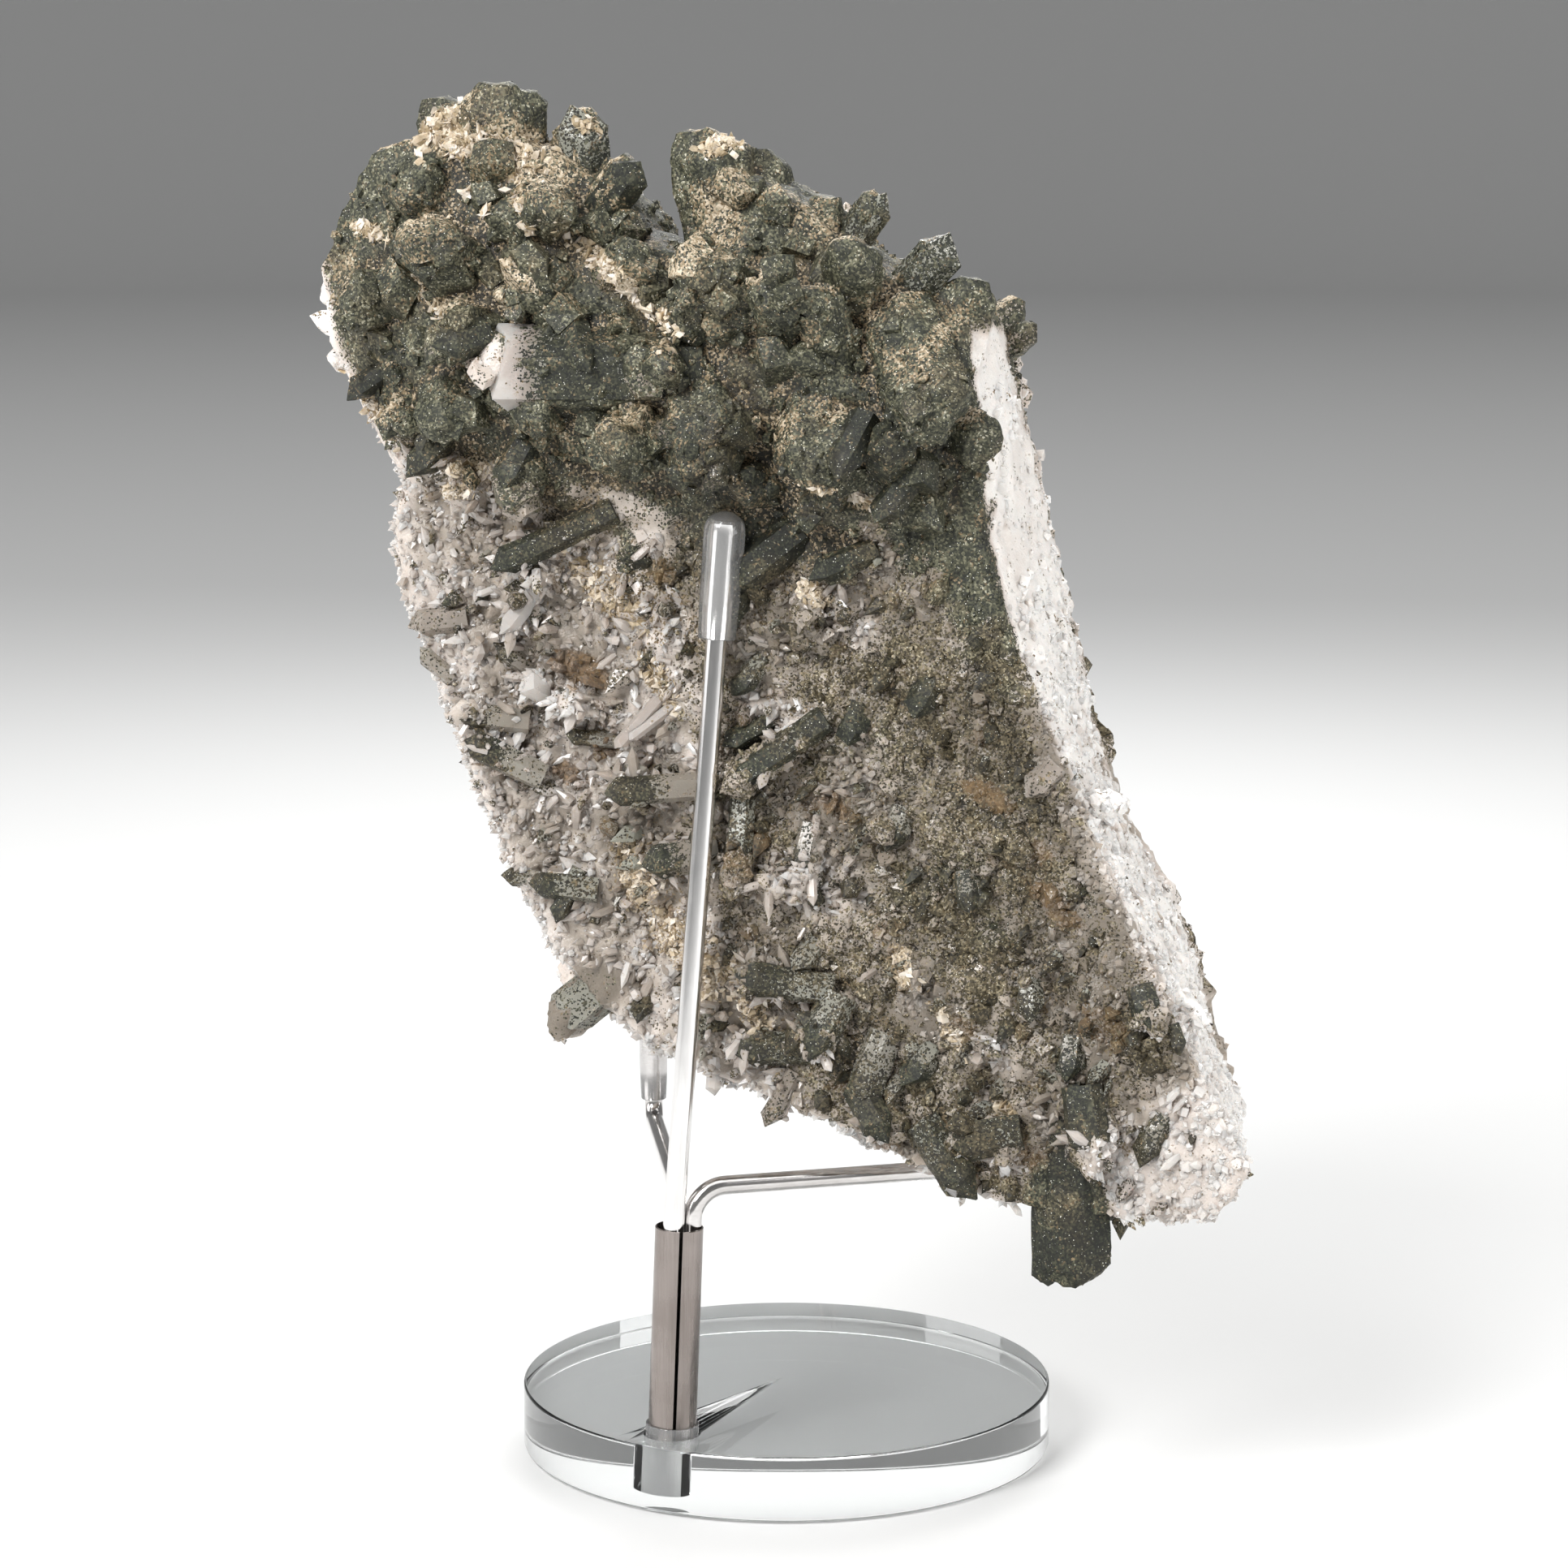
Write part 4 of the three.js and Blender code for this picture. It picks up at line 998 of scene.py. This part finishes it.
# The crystals that stand out on the face and start at its depth: the root's u and v, heading, lift, length,
# width, then the chlorite's share at the root and at the tip, and the whiteness
SMALL = [
    (-21, 34, -154, 12, 17, 4.2, 1, 1, 0), (15.5, 30, -157, 20, 8, 4, 0.9, 0.9, 0.2),
    (-43, 19, -172, 10, 7, 4, 0.3, 0.35, 0.4), (-44.5, 11.5, 139, 10, 5, 3, 0.3, 0.4, 0.3),
    (-33.5, 5.5, 174, 16, 9, 3.5, 0.2, 1, 0.3), (-31.5, -1.5, 153, 16, 10, 4, 0.3, 0.95, 0.2),
    (-19.5, 3, 174, 16, 7.5, 2.5, 0.3, 0.9, 0.3), (-7, -2, -176, 18, 13, 4, 0.2, 1, 0.3),
    (-31.5, 23, -123, 24, 7, 3, 0.1, 0.15, 0.9), (-33.5, 13, 143, 25, 5, 3, 0.3, 0.8, 0.3),
    (-30.5, 10.4, 60, 72, 3, 5, 0.05, 0.05, 0.95), (-14, 8.5, -128, 20, 8, 2, 0.1, 0.1, 0.7),
    (-12, 8, -140, 26, 7, 1.6, 0.1, 0.1, 0.8), (1, 6, -149, 25, 6, 3.5, 0.8, 1, 0.2),
    (8.5, 6.5, -144, 14, 14.5, 4.5, 0.8, 1, 0), (-1.5, -5.5, -91, 14, 11, 4, 0.6, 1, 0),
    (8, -8.5, -96, 20, 7, 4, 0.4, 0.9, 0.3), (-7, -11.5, -170, 18, 8.5, 5, 0.3, 0.8, 0.3),
    (-24, -17.5, 175, 12, 8, 4, 0.5, 0.9, 0.1), (-25.5, -16, -114, 14, 7, 3, 0.6, 0.95, 0),
    (-32.5, -16.5, 178, 8, 4, 2.5, 0.5, 0.8, 0.2), (6.5, -38, -178, 10, 10, 5, 0.7, 0.95, 0),
    (9.5, -29, 172, 15, 11.5, 4.5, 0.6, 0.9, 0.1), (11.5, -32, -113, 18, 7.5, 5.5, 0.6, 0.9, 0.1),
    (5, -42.5, -117, 8, 7.5, 3, 0.35, 0.5, 0.4), (-6, -41, -90, 8, 4.5, 2, 0.05, 0.1, 0.9),
    (16, -44, -56, 14, 7, 5, 0.9, 1, 0), (35.5, -47.5, -168, 12, 8, 5, 0.8, 0.95, 0),
    (25.5, -49, -50, 12, 10, 6, 0.75, 0.95, 0), (28.5, -53, -85, 6, 3.5, 2.5, 0.05, 0.1, 0.9),
    (17.5, -37, -106, 16, 8.5, 5, 0.5, 0.8, 0.2), (54, -28, -67, 18, 4, 4, 0.8, 1, 0),
    (58, -32.5, -66, 15, 3, 2.4, 0.8, 1, 0), (56, -45.5, -115, 15, 6, 4, 0.6, 0.8, 0.2),
    (40.5, 1, -130, 20, 4, 4.5, 0.3, 0.4, 0.5), (-22, 58, -60, 40, 6, 5, 1, 1, 0),
    (-36, 58, 200, 40, 6, 5, 1, 1, 0), (-53, 52, 215, 25, 5, 4, 1, 1, 0),
    (-44, 43, 230, 30, 6, 4.5, 0.95, 1, 0), (-31, 43, 250, 30, 7, 5, 0.95, 1, 0),
    (17, 47, 250, 35, 8, 5, 1, 1, 0), (22, 40, 240, 30, 7, 4.5, 0.95, 1, 0),
    (4, 31, -140, 20, 11, 6, 1, 1, 0), (-2, 24, -120, 25, 7, 4.5, 0.9, 1, 0),
    (46.5, -43, -78, 10, 8, 6.5, 0.85, 0.95, 0), (24, 12, -110, 35, 4.5, 4, 0.8, 0.9, 0.1),
    (14, 8, -95, 35, 4.5, 4, 0.9, 1, 0), (20, -6, -100, 35, 4.5, 4, 0.5, 0.8, 0.2),
    (30, -14, -70, 35, 4.5, 3.8, 0.6, 0.85, 0.2), (38, -28, -80, 30, 5, 4, 0.5, 0.8, 0.2),
    (24, -38, -120, 30, 5, 4, 0.5, 0.9, 0.1), (44, -36, -90, 30, 4.5, 4, 0.5, 0.8, 0.2),
    (0, 14, -120, 30, 5, 3.5, 0.6, 0.9, 0.1),
]
# Those with a depth of their own: the root's u, v and depth, flatness, then as above from the heading on.
# Two hang past the lower edge, one lies across the face below its top and the rest stand out of the top
PLACED = [
    (-16.4, -26, -10, 0.85, -139, 4, 19, 7.1, 0.25, 0.4, 0.1),
    (43.6, -46, -12.5, 0.5, -88, 2, 22.3, 10.9, 1, 1, 0),
    (-11.5, 53.5, -19, 0.75, 180, 10, 22.6, 13.2, 0.85, 0.12, 0.9),
    (10.5, 68, -10, 0.9, 56, 4, 11.4, 5.6, 0.9, 0.6, 0),
    (16.8, 61, -12, 0.8, 47, 6, 14.6, 6.4, 0.85, 0.65, 0),
    (-25.6, 70.5, -13, 0.8, 50, 10, 15, 6.2, 0.95, 0.95, 0),
    (-25.6, 75.5, -9, 0.8, 94, 4, 13.2, 8.2, 0.9, 0.6, 0),
]


def grown(root, axis, flat, length, width, flatness, tip_share, blunt, per_side, rings, draw):
    """Points and faces of one crystal as a fine grid: a prism that closes to an uneven six-sided end."""
    side = np.cross(flat, axis)
    corner_angles = (np.arange(SIDES) + draw.uniform(-0.09, 0.09, SIDES)) * 2 * math.pi / SIDES
    corner_radii = width / 2 * (1 + draw.normal(0, 0.06, SIDES))
    corner_rise = np.where(np.arange(SIDES) % 2, -0.12, 0.12) * width * draw.uniform(0.3, 1)
    corner_ring = np.stack([np.cos(corner_angles), np.sin(corner_angles)], 1) * corner_radii[:, None]
    corner_ring[:, 1] *= flatness
    shares = np.arange(SIDES * per_side) / per_side
    k, t = shares.astype(int), shares % 1
    following = (k + 1) % SIDES
    ring = corner_ring[k] * (1 - t)[:, None] + corner_ring[following] * t[:, None]
    rise = corner_rise[k] * (1 - t) + corner_rise[following] * t
    shoulder = length * (1 - tip_share)
    tip = np.array([draw.uniform(-0.14, 0.14), draw.uniform(-0.14, 0.14)]) * width
    end_rings = max(3, rings // 3)
    layers = []
    for share in np.linspace(0, 1, rings):
        layers.append((ring * (0.93 + 0.07 * share), (shoulder + rise) * share))
    for share in np.linspace(0, 1, end_rings + 1)[1:]:
        keep = 1 - share * (1 - blunt)
        layers.append((ring * keep + tip * share, shoulder + rise * keep + (length - shoulder) * share))
    points = np.concatenate([
        root + flat_ring[:, :1] * side + flat_ring[:, 1:] * flat + height[:, None] * axis
        for flat_ring, height in layers
    ])
    along = np.clip((points - root) @ axis / length, 0, 1)
    return points, ring_faces(len(layers), len(ring)), along


def directions(heading, lift):
    """A crystal's axis, and the direction square to it that looks away from the viewer."""
    turn, rise = math.radians(heading), math.radians(lift)
    axis = np.array([math.cos(turn) * math.cos(rise), -math.sin(rise), math.sin(turn) * math.cos(rise)])
    away = np.array([0, 1.0, 0])
    return axis, unit(away - axis * axis[1])


def seen_from_front(u, v):
    """The first place on the stone behind (u, v) and the direction it faces, or None twice."""
    ahead = -60
    return body_tree.ray_cast(Vector((u, ahead, v)), Vector((0, 1, 0)))[:2]


def face_depth(u, v):
    """The depth of the stone's front at a place."""
    place, _ = seen_from_front(u, v)
    return place.y if place is not None else FRONT_DEPTH


def joined(parts):
    """One list of points and faces from several."""
    points, faces, total = [], [], 0
    for part_points, part_faces in parts:
        points.append(part_points)
        faces += [[index + total for index in face] for face in part_faces]
        total += len(part_points)
    return np.concatenate(points), faces


def grainy(points, faces, amount):
    """Moves points out and in by the size of a few grains, where they are coated."""
    normals = point_normals(points, faces)
    lift = 0.6 * field(points, 0.9, 31) + 0.5 * field(points, 0.5, 32) + 0.4 * field(points, 3.4, 33)
    return points + normals * (np.clip(lift, -1.6, 1.6) * amount)[:, None], normals


def make_small():
    """The crystals that are placed one by one."""
    draw = np.random.default_rng(6)
    parts, covers, milks = [], [], []
    rows = [(u, v, face_depth(u, v), draw.uniform(0.75, 0.95), *rest) for u, v, *rest in SMALL]
    for u, v, depth, flatness, heading, lift, length, width, root_cover, tip_cover, milk in rows + PLACED:
        axis, flat = directions(heading, lift)
        buried = width * 0.45
        root = np.array([u, depth, v]) - axis * buried
        blunt = 0.5 if width > 9 else 0.04
        tip_share = draw.uniform(0.4, 0.7) * width * (1 - blunt) ** 1.7 / (length + buried)
        points, faces, along = grown(
            root, axis, flat, length + buried, width, flatness, tip_share, blunt, max(3, round(width * 0.7)),
            max(9, round(length)), draw,
        )
        parts.append((points, faces))
        white_end = milk > 0.5 and tip_cover < root_cover
        share = ramp(along, 0.66, 0.95) if white_end else ramp(along, 0.3, 0.75)
        covers.append(lerp(root_cover, tip_cover, share))
        milks.append(milk * share if white_end else np.full(len(points), milk))
    points, faces = joined(parts)
    cover, milk = np.concatenate(covers), np.concatenate(milks)
    points, normals = grainy(points, faces, 0.015 + 0.07 * cover)
    attributes = masks(points, normals)
    attributes.update(cover=cover, milk=milk)
    for dusting in ("cream", "stain"):
        attributes[dusting] = attributes[dusting] * 0.3
    attributes["dark"] = np.maximum(attributes["dark"], 0.8 * cover)
    piece = make_piece(
        "crystals_small", to_world(points), faces, half_clear, attributes=attributes, smooth=True,
    )
    piece.data.set_sharp_from_angle(angle=math.radians(28))


make_small()


def make_adularia():
    """Small skewed blocks of adularia heaped on the cream places of the face."""
    draw = np.random.default_rng(8)
    corner = np.array([(x, y, z) for x in (-1, 1) for y in (-1, 1) for z in (-1, 1)]) / 2
    block_faces = [
        (0, 1, 3, 2), (4, 6, 7, 5), (0, 4, 5, 1), (2, 3, 7, 6), (0, 2, 6, 4), (1, 5, 7, 3),
    ]
    parts = []
    for centre_u, centre_v, half_length, half_width, heading, strength in ADULARIA:
        turn = math.radians(heading)
        for _ in range(round(half_length * half_width * 27 * strength) + 16):
            along, across = draw.normal(0, 0.5, 2) * (half_length, half_width)
            u = centre_u + along * math.cos(turn) - across * math.sin(turn)
            v = centre_v + along * math.sin(turn) + across * math.cos(turn)
            place, normal = seen_from_front(u, v)
            if place is None:
                continue
            place, normal = np.array(place), np.array(normal)
            size = 0.3 + 0.75 * draw.random() ** 2
            axes = unit(draw.normal(size=(3, 3)) + np.array([normal] * 3) * 0.2)
            shape = corner * (size, size * draw.uniform(0.6, 1), size * draw.uniform(0.7, 1.3))
            parts.append((place + normal * size * 0.12 + shape @ axes, block_faces))
    points, faces = joined(parts)
    attributes = {"stain": np.repeat(draw.random(len(parts)), 8)}
    piece = make_piece("adularia", to_world(points), faces, adularia_cream, attributes=attributes)
    mesh = bmesh.new()
    mesh.from_mesh(piece.data)
    bmesh.ops.recalc_face_normals(mesh, faces=mesh.faces)
    mesh.to_mesh(piece.data)
    mesh.free()


make_adularia()

# Where each kind of small crystal grows
face_u, _, face_v = face_centres.T
inside = ramp(edge_distance(face_centres), 1.5, 5)
knob_share = past_border(face_u, face_v)
off_the_foot = 1 - 0.9 * ramp(-face_normals[:, 2], 0.3, 0.65)
coarse_share = ramp(0.5 - face_masks["cover"], 0, 0.3) * (1 - 0.8 * knob_share)
below_top = ramp(np.interp(face_u, *TOP_LINE.T) - face_v, -1, 2)
back_reach = np.minimum(edge_at(RIGHT_EDGE, face_v, 2) - face_u, face_u - edge_at(LEFT_EDGE, face_v, 2))
back_inside = ramp(back_reach, -1, 9)
light_share = 1 - dark_share
light_front = light_share * on_front

scatter(
    "blocks_dark", dark_share * on_front * inside * below_top * ramp(face_masks["cover"], 0.5, 0.8), 170,
    (3.0, 7.5), (0.8, 4.2), 0.55, stone_crystal, tip=0.4, change=varied_cover, sunk=0.5,
)
scatter(
    "crystals_dark", dark_share * (1 - 0.5 * on_back) * below_top, 2400,
    (0.6, 2.4), (0.1, 0.9), 0.5, stone_crystal, tip=0.45, change=varied_cover,
)
scatter(
    "crystals_coated", light_share * (on_front + 0.2 * on_side) * ramp(face_masks["cover"], 0.2, 0.5), 3800,
    (0.7, 3.2), (0.1, 1.0), 0.4, stone_crystal, tip=0.4, change=varied_cover,
)
scatter(
    "crystals_tipped", light_front * inside, 260,
    (1.4, 3.6), (1.4, 4.0), 0.35, half_clear, tip=0.7, bias=(-0.45, 0, -0.55), change=dark_tips,
)
scatter(
    "druse_front", light_front * coarse_share, 7200,
    (0.4, 1.6), (0.3, 1.3), 0.5, druse, tip=0.7, bias=(-0.2, 0, -0.05), change=bright,
)
scatter(
    "needles_front", light_front * inside * coarse_share, 800,
    (0.7, 1.7), (1.4, 4.0), 0.9, druse, tip=0.9, bias=(-0.3, 0, -0.1), change=bright,
)
scatter(
    "druse_rim", light_share * (on_side * (0.15 + bare_share) + 1.3 * on_front * knob_share), 6900,
    (0.5, 2.2), (0.05, 0.5), 0.3, milky_crystal, change=clean,
)
scatter(
    "crystals_back", on_back * (0.02 + 0.98 * back_inside) * below_top * off_the_foot, 3400,
    (0.8, 4.2), (0.3, 2.8), 0.5, stone_crystal, tip=0.6, change=varied_cover,
)
scatter(
    "blocks_back", on_back * back_inside * below_top * off_the_foot, 130,
    (3.5, 8.5), (1.0, 5.0), 0.45, stone_crystal, tip=0.5, change=varied_cover, sunk=0.5,
)


def make_backdrop():
    """A wide pale floor that curves up into a low wall all round, in metres."""
    floor_radius, bend, wall, below_base = 3.2, 0.8, 1.5, 0.0003
    near_middle = 0.01
    profile = [(near_middle, 0.0), (floor_radius, 0.0)]
    for a in np.linspace(0.1, math.pi / 2, 12):
        profile.append((floor_radius + bend * math.sin(a), bend * (1 - math.cos(a))))
    profile.append((floor_radius + bend, wall))
    points, faces = lathe(profile, 96)
    mesh = bpy.data.meshes.new("backdrop")
    mesh.from_pydata(points, [], faces[:-1])
    mesh.shade_smooth()
    backdrop = bpy.data.objects.new("backdrop", mesh)
    backdrop.location.z = -below_base
    bpy.context.scene.collection.objects.link(backdrop)
    paint = Shader("backdrop").finish({"Base Color": (0.66, 0.66, 0.655, 1), "Roughness": 0.9})
    mesh.materials.append(paint)


# Each soft light: place and size in metres, then power in watts. The last is wide and high, for the floor
LIGHTS = [
    ((-0.40, -0.52, 0.56), (0.30, 0.40), 6.8), ((0.66, -0.36, 0.36), (0.60, 0.56), 3.6),
    ((0.05, 0.55, 0.55), (0.40, 0.40), 3.0), ((-0.85, 0.0, 0.38), (0.75, 0.60), 2.1),
    ((0.0, 0.0, 2.4), (3.2, 3.2), 42.0),
]
LIT_POINT = Vector((0, 0, 0.09))


def make_lights():
    world = bpy.data.worlds.new("world")
    bpy.context.scene.world = world
    world.use_nodes = True
    background = world.node_tree.nodes["Background"]
    background.inputs["Color"].default_value = (0.93, 0.94, 0.95, 1)
    background.inputs["Strength"].default_value = 0.18
    for number, (place, size, power) in enumerate(LIGHTS):
        data = bpy.data.lights.new(f"light_{number}", "AREA")
        data.shape = "RECTANGLE"
        data.size, data.size_y = size
        data.energy = power
        light = bpy.data.objects.new(f"light_{number}", data)
        light.location = place
        aim = LIT_POINT - Vector(place)
        light.rotation_euler = aim.to_track_quat("-Z", "Y").to_euler()
        bpy.context.scene.collection.objects.link(light)
    bpy.context.scene.view_settings.view_transform = "Standard"


make_backdrop()
make_lights()
